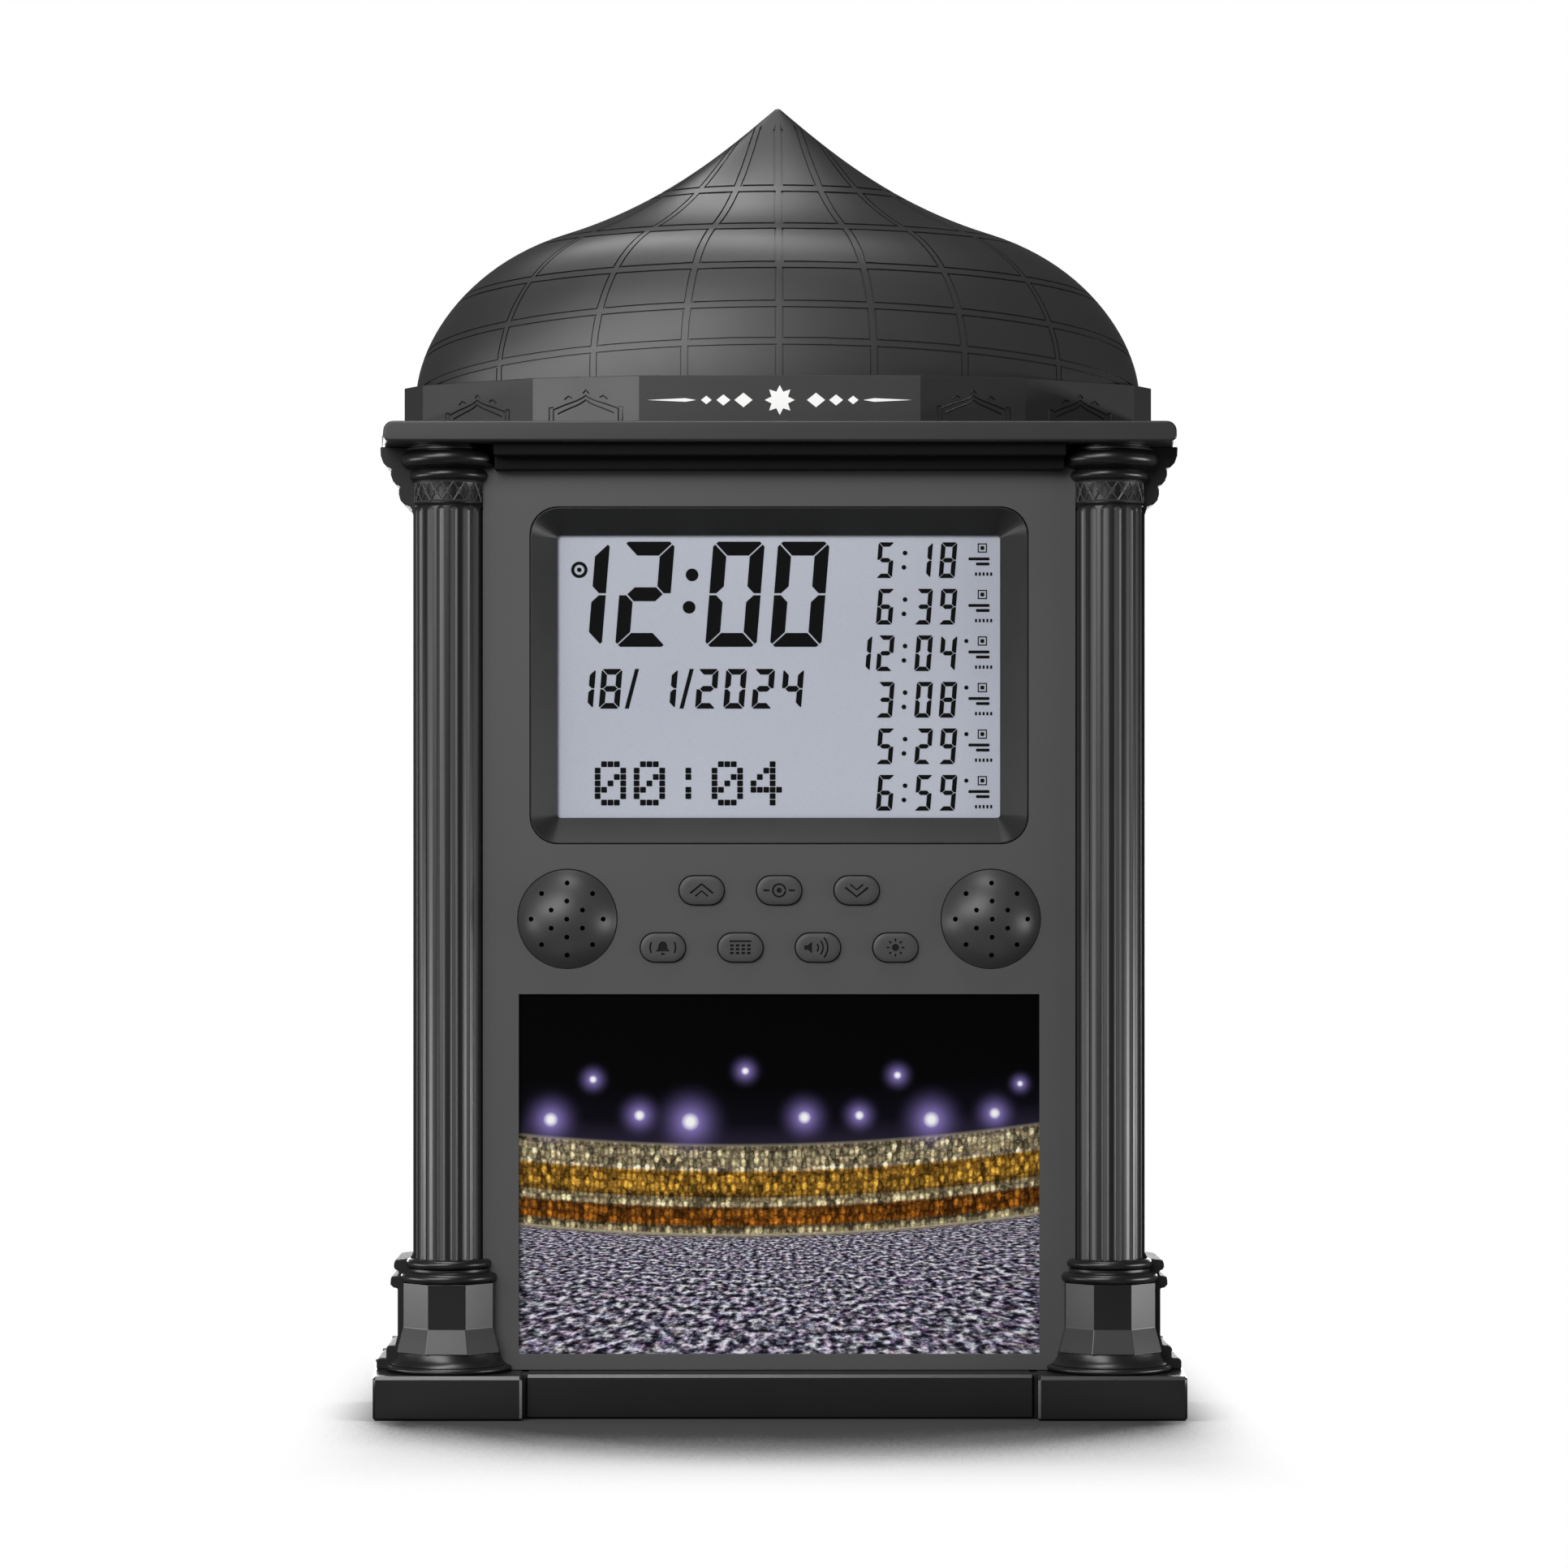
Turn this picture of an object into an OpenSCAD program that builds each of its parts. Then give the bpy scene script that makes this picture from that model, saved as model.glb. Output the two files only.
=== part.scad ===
// Desk and wall clock in the shape of a domed hall with two fluted columns.
// Millimetres, +Z up, +Y towards the back. The origin is the middle of the footprint on the floor.

/* [Case] */
// Width across the back edge of the plinth
case_w = 194; // [190:1:236]
// Height from the floor to the tip of the dome
case_h = 312; // [308:1:380]
// Depth from the front of the plinth to the outer face of the back cover
case_d = 40; // [39:1:50]
// Wall of the black mouldings
wall = 2; // [1.6:0.1:2.4]
// Thickness of the back cover
cover_t = 2; // [1.6:0.1:2.4]
// How much each side widens from front to back
side_draft = 2; // [0:0.5:3]

/* [Plinth] */
// Height of the plinth
plinth_h = 10.4; // [9:0.1:13]
// Width of the pedestal under each column
pedestal_w = 34.8; // [33:0.1:38]
// How far the middle block stands back from the pedestals
block_step = 4; // [2:0.5:6]
// Width of the groove between a pedestal and the middle block
groove_w = 0.6; // [0.3:0.1:1.2]

/* [Columns] */
// Radius of the fluted shaft
shaft_r = 7.85; // [7.2:0.05:8.6]
// Flutes counted round a full shaft
flute_count = 16; // [12:2:20]
// Radius of the round tool that cuts a flute
flute_r = 1.15; // [0.8:0.05:1.2]
// Size across the flats of the eight-sided base
octagon_w = 21.2; // [20:0.1:23]

/* [Cornice and dome] */
// Height of the cornice slab
cornice_h = 4.7; // [4.2:0.1:7]
// Depth of the stepped cove under the slab
cove_h = 6; // [5:0.5:8]
// Height of the faceted drum under the dome
drum_h = 11; // [10.4:0.1:14]
// Height of the dome above the drum
dome_h = 67.6; // [58:0.1:71]

/* [Front panel] */
// Thickness of the grey panel
panel_t = 2.5; // [2:0.1:3]
// Radius of the panel's lower corners
panel_r = 4; // [2:0.5:8]

/* [Display] */
// Visible width of the liquid crystal display
view_w = 105.2; // [84:0.1:108]
// Visible height of the liquid crystal display
view_h = 67.1; // [54:0.1:72]
// Width of the sloping bezel all round the view
bezel_band = 6.2; // [5:0.1:7]
// Corner radius of the bezel
bezel_r = 6.7; // [3:0.1:9]
// How far the clear window lies behind the panel's face
window_depth = 6; // [4.6:0.1:7]
// From the top edge of the panel to the middle of the display
display_drop = 48.2; // [46:0.1:52]

/* [Picture] */
// Width of the picture card
card_w = 127; // [104:1:130]
// Height of the picture card
card_h = 89; // [74:1:90]
// Lip of the panel over each edge of the card
card_lip = 2; // [1:0.1:3]
// From the top of the plinth to the middle of the picture
picture_rise = 46.3; // [45.6:0.1:50]

/* [Keys and speakers] */
// Width of a key cap
key_w = 10.6; // [8.6:0.1:12]
// Height of a key cap
key_h = 6.8; // [5.6:0.1:8.2]
// Spacing of the keys along a row
key_pitch = 18.3; // [17.4:0.1:19]
// Spacing of the two rows
row_pitch = 13.5; // [11.2:0.1:15]
// How far a key stands proud of the panel
key_proud = 1.2; // [1:0.1:2]
// Travel of a key
key_travel = 0.8; // [0.5:0.1:0.9]
// Gap round a key cap in its hole
key_gap = 0.2; // [0.15:0.05:0.4]
// Radius of each speaker dome
grille_r = 11.7; // [9.6:0.1:12.4]
// Height of each speaker dome
grille_h = 5.5; // [4.4:0.1:6.8]
// Distance of each speaker from the middle
speaker_x = 50; // [49.5:0.5:52]
// Radius of a sound hole
sound_hole_r = 0.55; // [0.4:0.05:0.8]

/* [Battery bay] */
// Diameter of a battery cell
cell_d = 14.3; // [12:0.1:15]
// Length of a battery cell with its tip
cell_l = 50.2; // [42:0.1:60.3]
// Gap round the battery door
door_gap = 0.3; // [0.2:0.05:0.5]

/* [Fasteners] */
// Radius of a case screw's shank
screw_r = 1.3; // [1.1:0.05:1.5]
// Radius of a case screw's head
head_r = 2.6; // [2.3:0.05:2.8]
// Radius of the hanging hole's round entry
keyhole_r = 4.5; // [4:0.1:5]
// Radius of the hanging slot
slot_r = 2.2; // [2:0.1:2.6]

/* [Hidden] */
$fn = 64;

case_black = "#262626";
panel_grey = "#4a4a4a";
lcd_grey = "#abaeb8";
board_green = "#2f5d3a";

eps = 0.01;
fit = 0.15;

// Planes from front to back
front_y = -case_d / 2;
back_y = case_d / 2;
seam_y = back_y - cover_t;
column_y = front_y + 15.7;
side_y = column_y + 0.7;
panel_y = front_y + 14;
panel_back = panel_y + panel_t;
cornice_y = front_y + 1;
drum_y = front_y + 5;
dome_y = drum_y + 1.5;
dome_edge_y = back_y - 4;

// Columns and panel across the front
column_x = case_w / 2 - 19;
panel_half = column_x - shaft_r - fit;
core_r = shaft_r - wall - 0.45;

// Levels from the floor up
cornice_top = case_h - dome_h - drum_h;
cornice_z = cornice_top - cornice_h;
panel_top = cornice_z - cove_h;
drum_top = cornice_top + drum_h;
display_z = panel_top - display_drop;
picture_z = plinth_h + picture_rise;

// Bezel and the parts behind it
bezel_w = view_w + 2 * bezel_band;
bezel_h = view_h + 2 * bezel_band;
bezel_flange = 2;
bezel_flange_t = 1.5;
window_y = panel_y + window_depth;
window_t = 1;
window_lip = 1.4;
lcd_y = window_y + window_t;
lcd_t = 2.8;
lcd_front_t = 1.4;
lcd_ledge = 6.4;
lcd_border = 3.4;
lcd_w = view_w + 2 * lcd_border;
lcd_h = view_h + 2 * lcd_border;
carrier_back = lcd_y + lcd_t + 1;
board_y = carrier_back + 1.9;
board_t = 1.6;
board_w = view_w + 5;
board_h = view_h + 6.9;
board_back = board_y + board_t;
stud_x = board_w / 2 - 2.6;
stud_z = board_h / 2 - 2.2;
stud_r = 2.2;
pilot_r = 1;
zebra_z = lcd_h / 2 - 3.6;

// Keys: three above, four below, midway between the picture and the bezel
picture_top = picture_z + card_h / 2 - card_lip;
keys_z = (picture_top + display_z - bezel_h / 2) / 2;
upper_z = keys_z + row_pitch / 2;
lower_z = keys_z - row_pitch / 2;
key_at = [
    for (i = [0 : 2]) [(i - 1) * key_pitch, upper_z],
    for (i = [0 : 3]) [(i - 1.5) * key_pitch, lower_z]
];
key_flange = 1.2;
key_flange_t = 1;
stem_r = 1.6;
stem_gap = 0.2;
stem_reach = 0.4;
stop_gap = 0.4;
switch_w = 6;
switch_h = 3.4;
key_board_y = panel_back + 8.5;
key_board_t = 1.6;
key_board_w = 4 * key_pitch - 4;
key_board_h = row_pitch + 16.4;
key_stud_r = 1.9;
key_studs = [
    for (s = [-1, 1]) [s * (key_board_w / 2 - 3.2), upper_z + 3.4],
    for (s = [-1, 1]) [s * key_pitch, lower_z]
];

// Speakers sit at the height of the keys
grille_flange = 1.7;
grille_flange_t = 1;
cap_r = grille_r - 0.25;
grille_ball = (cap_r * cap_r + grille_h * grille_h) / (2 * grille_h);
basket_r = grille_r + grille_flange;
basket_y = panel_back + grille_flange_t;
basket_t = 3;
magnet_r = 8;
magnet_t = 5;
tab_z = basket_r - 2.4;

// Picture slides in from behind, under the panel's front lip
lip_t = 0.8;
picture_gap = 0.2;
glass_t = 0.7;
card_t = 0.3;
backing_t = 1.2;

// Battery bay with two cells one above the other, just under the key board
cell_r = cell_d / 2;
tip_l = 1.2;
tip_r = 2.7;
spring_l = 5;
contact_t = 0.5;
bay_w = cell_l + spring_l + 2 * contact_t + 0.6;
bay_h = 2 * cell_d + 1.6;
tray_wall = 1.5;
bay_depth = cell_d + 0.6;
tray_y = seam_y - bay_depth - tray_wall;
bay_low = keys_z - key_board_h / 2 - 0.5 - tray_wall - bay_h;
bay_z = bay_low + bay_h / 2;
cell_y = seam_y - cell_r - 0.3;
door_w = bay_w - 2 * door_gap;
door_h = bay_h - 2 * door_gap;
door_tab = 2.2;
tab_x = 17;
tab_w = 8;
notch_r = 7;
cell_rows = [bay_z - cell_r - 0.3, bay_z + cell_r + 0.3];

// Case screws: pillars on the front mouldings meet cups in the back cover
pillar_r = 3.3;
cup_r = head_r + 1;
cup_l = 4;
head_depth = 3.6;
pillar_y = seam_y - cup_l;
pillar_depth = 11;
high_z = display_z + bezel_h / 2 + bezel_flange + pillar_r + 0.4;
middle_z = picture_z + card_h / 2 + pillar_r + 1.1;
pillar_x = panel_half - 5.5;
column_pillar_z = plinth_h + 10.8;
drum_pillar_x = 25;
drum_pillar_z = cornice_top + (drum_h - wall) / 2;
panel_pillars = [for (s = [-1, 1]) for (z = [middle_z, high_z]) [s * pillar_x, z]];
all_screws = concat(
    panel_pillars,
    [for (s = [-1, 1]) [s * column_x, column_pillar_z]],
    [for (s = [-1, 1]) [s * drum_pillar_x, drum_pillar_z]]
);
keyhole_x = 42;
slot_l = 8;
keyhole_z = cornice_top - wall - slot_l - keyhole_r - 0.3;

// Rings of a column: radius, then bottom and top. The first list counts up from
// the plinth, the second down from the cornice.
low_rings = [[14.9, 0, 1.7], [12.8, 1.7, 5.4], [11.2, 21.7, 23.4], [10, 24.5, 26.4]];
high_rings = [[9.9, 8.3, 6.1], [10.5, 5.4, 2.1], [9.2, 2.1, 0]];
core_ring_r = 9.6;
neck_r = shaft_r + 0.3;
neck_h = 14.5;
octagon_low = 5.4;
octagon_flat = 10.8;
octagon_top = 21.2;
octagon_flare = 3.3;
shaft_low = plinth_h + 24;
shaft_top = cornice_z - neck_h;
cavity_low = plinth_h + 26;

// How far the side walls stand outside the column's axis, from the base up
foot_out = 17.3;
step_out = 15;
base_out = 12.3;
collar_out = 14;
shaft_out = 8.6;
neck_out = 12;
capital_out = 14;
cornice_out = 17.5;
drum_out = 11.8;

// Side of the case seen from the front: half width, then the level where it ends
base_top = plinth_h + 19.1;
side_steps = [
    [case_w / 2, plinth_h],
    [column_x + foot_out, plinth_h + 2.6],
    [column_x + step_out, plinth_h + 5.6],
    [column_x + base_out, base_top],
    [column_x + collar_out, plinth_h + 22.1],
    [column_x + shaft_out, cornice_z - 9.2],
    [column_x + neck_out, cornice_z - 5.7],
    [column_x + capital_out, cornice_z],
    [column_x + cornice_out, cornice_top],
    [column_x + drum_out, drum_top]
];

// Plan of the drum, right half, front to back
drum_plan = [
    [column_x - 45, drum_y],
    [column_x - 20, drum_y + 6],
    [column_x + 7, drum_y + 21.5],
    [column_x + drum_out, dome_edge_y - 2],
    [column_x + drum_out, seam_y]
];

// Outline of the dome: two curves, as shares of its radius and its height
dome_r = column_x + drum_out - 2.8;
dome_low = [[1, 0], [0.983, 0.19], [0.851, 0.444], [0.595, 0.547]];
dome_high = [[0.595, 0.547], [0.308, 0.661], [0.13, 0.865], [0, 1]];
dome_steps = 12;
tip_half = 0.6;
arc_steps = 28;

function bezier(p, t) = pow(1 - t, 3) * p[0] + 3 * t * pow(1 - t, 2) * p[1]
    + 3 * t * t * (1 - t) * p[2] + pow(t, 3) * p[3];
function dome_point(s) = s <= 1 ? bezier(dome_low, s) : bezier(dome_high, s - 1);
function dome_curve() = [
    for (i = [0 : 2 * dome_steps])
        let (p = dome_point(i / dome_steps)) [max(tip_half, p[0] * dome_r), p[1] * dome_h]
];
function mirrored(points) = concat(
    points, [for (i = [len(points) - 1 : -1 : 0]) [-points[i][0], points[i][1]]]);
function step_points(steps) = [
    for (i = [0 : len(steps) - 1])
        each [[steps[i][0], i == 0 ? 0 : steps[i - 1][1]], steps[i]]
];
function case_outline() = mirrored(concat(
    step_points(side_steps),
    [for (p = dome_curve()) [p[0], drum_top + p[1]]]
));

// Moves each corner of a counterclockwise outline inwards by d
function unit(v) = v / norm(v);
function inset(p, d) = [
    for (i = [0 : len(p) - 1]) let (
        a = unit(p[i] - p[(i + len(p) - 1) % len(p)]),
        b = unit(p[(i + 1) % len(p)] - p[i]),
        na = [-a[1], a[0]],
        nb = [-b[1], b[0]]
    ) p[i] + d * (na + nb) / (1 + na * nb)
];

// Smooth tube along hand-placed points
function curve_at(p, i, t) = let (
    last = len(p) - 1,
    a = p[max(i - 1, 0)], b = p[i], c = p[i + 1], d = p[min(i + 2, last)]
) 0.5 * (2 * b + (c - a) * t + (2 * a - 5 * b + 4 * c - d) * t * t
    + (3 * b - a - 3 * c + d) * t * t * t);
function smooth_route(p, n) = concat(
    [for (i = [0 : len(p) - 2]) for (k = [0 : n - 1]) curve_at(p, i, k / n)],
    [p[len(p) - 1]]
);

module tube(route, r, sides = 8) {
    n = len(route);
    rings = [
        for (i = [0 : n - 1]) let (
            t = unit(route[min(i + 1, n - 1)] - route[max(i - 1, 0)]),
            u = unit(cross(t, [1, 0.2, 0.1])),
            v = cross(t, u)
        ) for (k = [0 : sides - 1])
            route[i] + r * (cos(360 * k / sides) * u + sin(360 * k / sides) * v)
    ];
    skin = [
        for (i = [0 : n - 2]) for (k = [0 : sides - 1]) let (
            a = i * sides + k, b = i * sides + (k + 1) % sides
        ) each [[a, b + sides, b], [a, a + sides, b + sides]]
    ];
    start = [[for (k = [0 : sides - 1]) k]];
    end = [[for (k = [sides - 1 : -1 : 0]) (n - 1) * sides + k]];
    polyhedron(rings, concat(skin, start, end));
}

// Plate in the front view, from y0 back to y1
module slab(y0, y1) {
    translate([0, y1, 0]) rotate([90, 0, 0]) linear_extrude(y1 - y0) children();
}

// Round bar or bore that runs front to back
module bar(r, y0, y1) {
    translate([0, y0, 0]) rotate([-90, 0, 0]) cylinder(h = y1 - y0, r = r);
}

module block(x0, x1, y0, y1, z0, z1) {
    translate([x0, y0, z0]) cube([x1 - x0, y1 - y0, z1 - z0]);
}

module place(p) {
    translate([p[0], 0, p[1]]) children();
}

module rounded(w, h, r) {
    square([w - 2 * r, h], center = true);
    square([w, h - 2 * r], center = true);
    for (x = [-1, 1]) for (z = [-1, 1])
        translate([x * (w / 2 - r), z * (h / 2 - r)]) circle(r = r);
}

module stadium(w, h) {
    square([w - h, h], center = true);
    for (x = [-1, 1]) translate([x * (w - h) / 2, 0]) circle(r = h / 2);
}

// Pillar for a case screw, from a moulding's wall back to the cup
module pillar(y0) {
    difference() {
        bar(pillar_r, y0, pillar_y);
        bar(screw_r, pillar_y - pillar_depth, pillar_y + eps);
    }
}

module rear_cover() {
    rib_t = 1.4;
    rib_x = column_x + shaft_out - wall - fit;
    rib_l = 3;
    color(case_black) difference() {
        union() {
            slab(seam_y, back_y) polygon(case_outline());
            for (p = all_screws) place(p) bar(cup_r, pillar_y, seam_y + eps);
            for (s = [-1, 1]) block(
                min(s * rib_x, s * (rib_x - rib_t)), max(s * rib_x, s * (rib_x - rib_t)),
                seam_y - rib_l, seam_y + eps, cavity_low + 2, cornice_z - neck_h);
        }
        for (p = all_screws) place(p) {
            bar(screw_r + 0.2, pillar_y - eps, back_y + eps);
            bar(head_r + 0.2, back_y - head_depth, back_y + eps);
        }
        for (s = [-1, 1]) place([s * keyhole_x, keyhole_z]) {
            bar(keyhole_r, seam_y - eps, back_y + eps);
            slab(seam_y - eps, back_y + eps) translate([-slot_r, 0]) square([2 * slot_r, slot_l]);
            translate([0, 0, slot_l]) bar(slot_r, seam_y - eps, back_y + eps);
        }
        block(-bay_w / 2, bay_w / 2, seam_y - eps, back_y + eps, bay_low, bay_low + bay_h);
        place([0, bay_low + bay_h]) slab(back_y - 1, back_y + eps) circle(r = notch_r);
    }
}

// Pedestals reach the front; the middle block stands back between two grooves
module base_plinth() {
    half = case_w / 2;
    inner = half - side_draft - pedestal_w;
    color(case_black) difference() {
        union() {
            for (s = [0, 1]) mirror([s, 0, 0]) linear_extrude(plinth_h) polygon([
                [inner, front_y], [half - side_draft, front_y],
                [half, seam_y], [inner, seam_y]
            ]);
            block(-inner + groove_w, inner - groove_w, front_y + block_step, seam_y, 0, plinth_h);
            block(-inner - 1, inner + 1, front_y + block_step + 1, seam_y, 0, plinth_h);
        }
        block(-half + 2 * wall + side_draft, half - 2 * wall - side_draft,
            front_y + block_step + 1 + wall, seam_y + eps, wall, plinth_h - wall);
        for (s = [0, 1]) mirror([s, 0, 0])
            block(inner + wall, half - 2 * wall - side_draft, front_y + wall,
                seam_y, wall, plinth_h - wall);
    }
}

module column_rings() {
    for (g = low_rings) translate([0, 0, plinth_h + g[1]]) cylinder(h = g[2] - g[1], r = g[0]);
    for (g = high_rings) translate([0, 0, cornice_z - g[1]]) cylinder(h = g[1] - g[2], r = g[0]);
}

module column_base() {
    flat = octagon_w / 2 / cos(22.5);
    translate([0, 0, plinth_h + octagon_low - 0.5]) rotate(22.5) {
        cylinder(h = octagon_flat - octagon_low + 0.5, r1 = flat + octagon_flare / 2,
            r2 = flat - 0.05, $fn = 8);
        cylinder(h = octagon_top - octagon_low + 0.5, r = flat, $fn = 8);
    }
    translate([0, 0, plinth_h + octagon_top])
        cylinder(h = shaft_low - plinth_h - octagon_top + 1, r = core_ring_r);
}

module column_shaft() {
    translate([0, 0, shaft_low]) linear_extrude(shaft_top - shaft_low) difference() {
        circle(r = shaft_r);
        for (i = [0 : flute_count - 1]) rotate((i + 0.5) * 360 / flute_count)
            translate([shaft_r + flute_r / 3, 0]) circle(r = flute_r, $fn = 24);
    }
    translate([0, 0, shaft_top]) cylinder(h = neck_h - 0.1, r = neck_r);
}

// Right-hand column with the side wall of the case behind it
module column() {
    steps = [for (g = side_steps) if (g[1] > plinth_h && g[1] <= cornice_z) g];
    inner_x = panel_half + fit;
    wall_points = concat(
        [[inner_x, plinth_h]],
        [for (i = [0 : len(steps) - 1])
            each [[steps[i][0], i == 0 ? plinth_h : steps[i - 1][1]], steps[i]]],
        [[inner_x, cornice_z]]
    );
    difference() {
        union() {
            translate([column_x, column_y, 0]) {
                column_rings();
                column_base();
                column_shaft();
            }
            slab(side_y, seam_y) polygon(wall_points);
        }
        block(0, panel_half + fit, panel_y, seam_y + eps, 0, case_h);
        translate([column_x, column_y, cavity_low]) cylinder(h = shaft_top - cavity_low, r = core_r);
        block(column_x - core_r, column_x + shaft_out - wall, side_y + wall, seam_y + eps,
            cavity_low, cornice_z - wall);
        block(column_x - core_r, column_x + core_r, column_y, side_y + 2 * wall,
            cavity_low, shaft_top);
        difference() {
            block(column_x - core_r, column_x + base_out - wall, column_y - 3, seam_y + eps,
                plinth_h + wall, base_top);
            place([column_x, column_pillar_z]) bar(pillar_r, column_y - 4, pillar_y);
        }
        place([column_x, column_pillar_z]) bar(screw_r, pillar_y - pillar_depth, pillar_y + eps);
    }
}

module right_column() {
    color(case_black) column();
}

module left_column() {
    color(case_black) mirror([1, 0, 0]) column();
}

module cornice() {
    back_half = column_x + cornice_out;
    front_half = back_half - side_draft - 0.9;
    cove_x = column_x - 11;
    cove_y = [cornice_y + 3.5, cornice_y + 8];
    color(case_black) difference() {
        union() {
            translate([0, 0, cornice_z]) linear_extrude(cornice_h) polygon([
                [-back_half, seam_y], [-front_half, cornice_y],
                [front_half, cornice_y], [back_half, seam_y]
            ]);
            block(-cove_x, cove_x, cove_y[0], panel_y, cornice_z - cove_h / 2, cornice_z + eps);
            block(-cove_x, cove_x, cove_y[1], panel_y, panel_top, cornice_z);
        }
        block(-panel_half + 2, panel_half - 2, panel_back + 0.2, seam_y + eps,
            cornice_z - eps, cornice_top - wall);
    }
}

module drum_band() {
    plan = mirrored([for (i = [len(drum_plan) - 1 : -1 : 0]) drum_plan[i]]);
    shell = [for (i = [len(plan) - 1 : -1 : 0]) plan[i]];
    inner = inset(shell, wall);
    deep = [for (p = inner) [p[0], p[1] > seam_y - 2 * wall ? seam_y + 1 : p[1]]];
    color(case_black) {
        difference() {
            translate([0, 0, cornice_top]) linear_extrude(drum_h) polygon(shell);
            translate([0, 0, cornice_top - eps]) linear_extrude(drum_h - wall + eps) polygon(deep);
        }
        for (s = [-1, 1]) place([s * drum_pillar_x, drum_pillar_z]) pillar(drum_y + wall - 0.5);
    }
}

// Half dome: a bulging front on a flat edge, hollow and open at the back
module dome_shell() {
    curve = dome_curve();
    rows = len(curve);
    cols = arc_steps + 3;
    bulge = (dome_edge_y - dome_y) / dome_r;
    shrink_x = 1 - wall / dome_r;
    shrink_z = 1 - 1.3 * wall / dome_h;
    outer = [
        for (p = curve) each concat(
            [[p[0], seam_y, drum_top + p[1]]],
            [for (i = [0 : arc_steps]) let (a = 180 * i / arc_steps)
                [p[0] * cos(a), dome_edge_y - bulge * p[0] * sin(a), drum_top + p[1]]],
            [[-p[0], seam_y, drum_top + p[1]]])
    ];
    inner = [
        for (p = curve) let (w = max(tip_half / 2, p[0] * shrink_x - 0.3), z = drum_top + p[1] * shrink_z)
            each concat(
                [[w, seam_y, z]],
                [for (i = [0 : arc_steps]) let (a = 180 * i / arc_steps)
                    [w * cos(a), dome_edge_y - max(0, bulge * w - wall) * sin(a), z]],
                [[-w, seam_y, z]])
    ];
    n = rows * cols;
    skin = [
        for (j = [0 : rows - 2]) for (i = [0 : cols - 2]) let (a = j * cols + i, b = a + cols)
            each [
                [a, b, a + 1], [a + 1, b, b + 1],
                [n + a, n + a + 1, n + b], [n + a + 1, n + b + 1, n + b]
            ]
    ];
    foot = [for (i = [0 : cols - 2]) each [[i, i + 1, n + i], [i + 1, n + i + 1, n + i]]];
    rim = [
        for (j = [0 : rows - 2]) let (a = j * cols, b = a + cols, c = a + cols - 1, d = b + cols - 1)
            each [
                [a, n + a, b], [n + a, n + b, b],
                [c, d, n + c], [n + c, d, n + d]
            ]
    ];
    top = (rows - 1) * cols;
    tip = [
        [for (i = [cols - 1 : -1 : 0]) top + i],
        [for (i = [0 : cols - 1]) n + top + i],
        [top, n + top, top + cols - 1],
        [n + top, n + top + cols - 1, top + cols - 1]
    ];
    color(case_black) polyhedron(concat(outer, inner), concat(skin, foot, rim, tip));
}

module front_panel() {
    low = plinth_h + 0.1;
    high = cornice_z - 0.1;
    hole_w = card_w - 2 * card_lip;
    hole_h = card_h - 2 * card_lip;
    color(panel_grey) {
        difference() {
            slab(panel_y, panel_back) union() {
                translate([-panel_half + panel_r, low]) square([2 * (panel_half - panel_r), high - low]);
                translate([-panel_half, low + panel_r]) square([2 * panel_half, high - low - panel_r]);
                for (s = [-1, 1]) translate([s * (panel_half - panel_r), low + panel_r])
                    circle(r = panel_r);
            }
            place([0, display_z]) slab(panel_y - eps, panel_back + eps)
                rounded(bezel_w + 2 * fit, bezel_h + 2 * fit, bezel_r);
            place([0, picture_z]) {
                slab(panel_y - eps, panel_back) square([hole_w, hole_h], center = true);
                slab(panel_y + lip_t, panel_back + eps)
                    square([card_w + 2 * picture_gap, card_h + 2 * picture_gap], center = true);
            }
            for (p = key_at) place(p) slab(panel_y - eps, panel_back + eps)
                stadium(key_w + 2 * key_gap, key_h + 2 * key_gap);
            for (s = [-1, 1]) place([s * speaker_x, keys_z])
                bar(grille_r + fit, panel_y - eps, panel_back + eps);
        }
        for (p = panel_pillars) place(p) pillar(panel_back - 0.5);
        for (p = key_studs) place(p) difference() {
            bar(key_stud_r, panel_back - 0.5, key_board_y);
            bar(pilot_r, key_board_y - 5, key_board_y + eps);
        }
    }
}

module display_bezel() {
    rim_t = 0.8;
    color(case_black) place([0, display_z]) difference() {
        union() {
            slab(panel_y, lcd_y) rounded(bezel_w, bezel_h, bezel_r);
            slab(panel_back, panel_back + bezel_flange_t)
                rounded(bezel_w + 2 * bezel_flange, bezel_h + 2 * bezel_flange, bezel_r + bezel_flange);
        }
        hull() {
            slab(panel_y - 0.02, panel_y) rounded(bezel_w - 2 * rim_t, bezel_h - 2 * rim_t,
                bezel_r - rim_t, $fn = 32);
            slab(window_y, window_y + 0.01) square([view_w, view_h], center = true);
        }
        slab(window_y, lcd_y + eps)
            square([view_w + 2 * window_lip + 2 * fit, view_h + 2 * window_lip + 2 * fit], center = true);
    }
}

module display_window() {
    color("#dfe6ea", 0.4) place([0, display_z]) slab(window_y, lcd_y)
        square([view_w + 2 * window_lip, view_h + 2 * window_lip], center = true);
}

// Two glasses; the front one is taller, and its bare ledges carry the contacts
module lcd_panel() {
    color(lcd_grey) place([0, display_z]) {
        slab(lcd_y, lcd_y + lcd_front_t) square([lcd_w, lcd_h], center = true);
        slab(lcd_y + lcd_front_t, lcd_y + lcd_t) square([lcd_w, lcd_h - 2 * lcd_ledge], center = true);
    }
}

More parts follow.
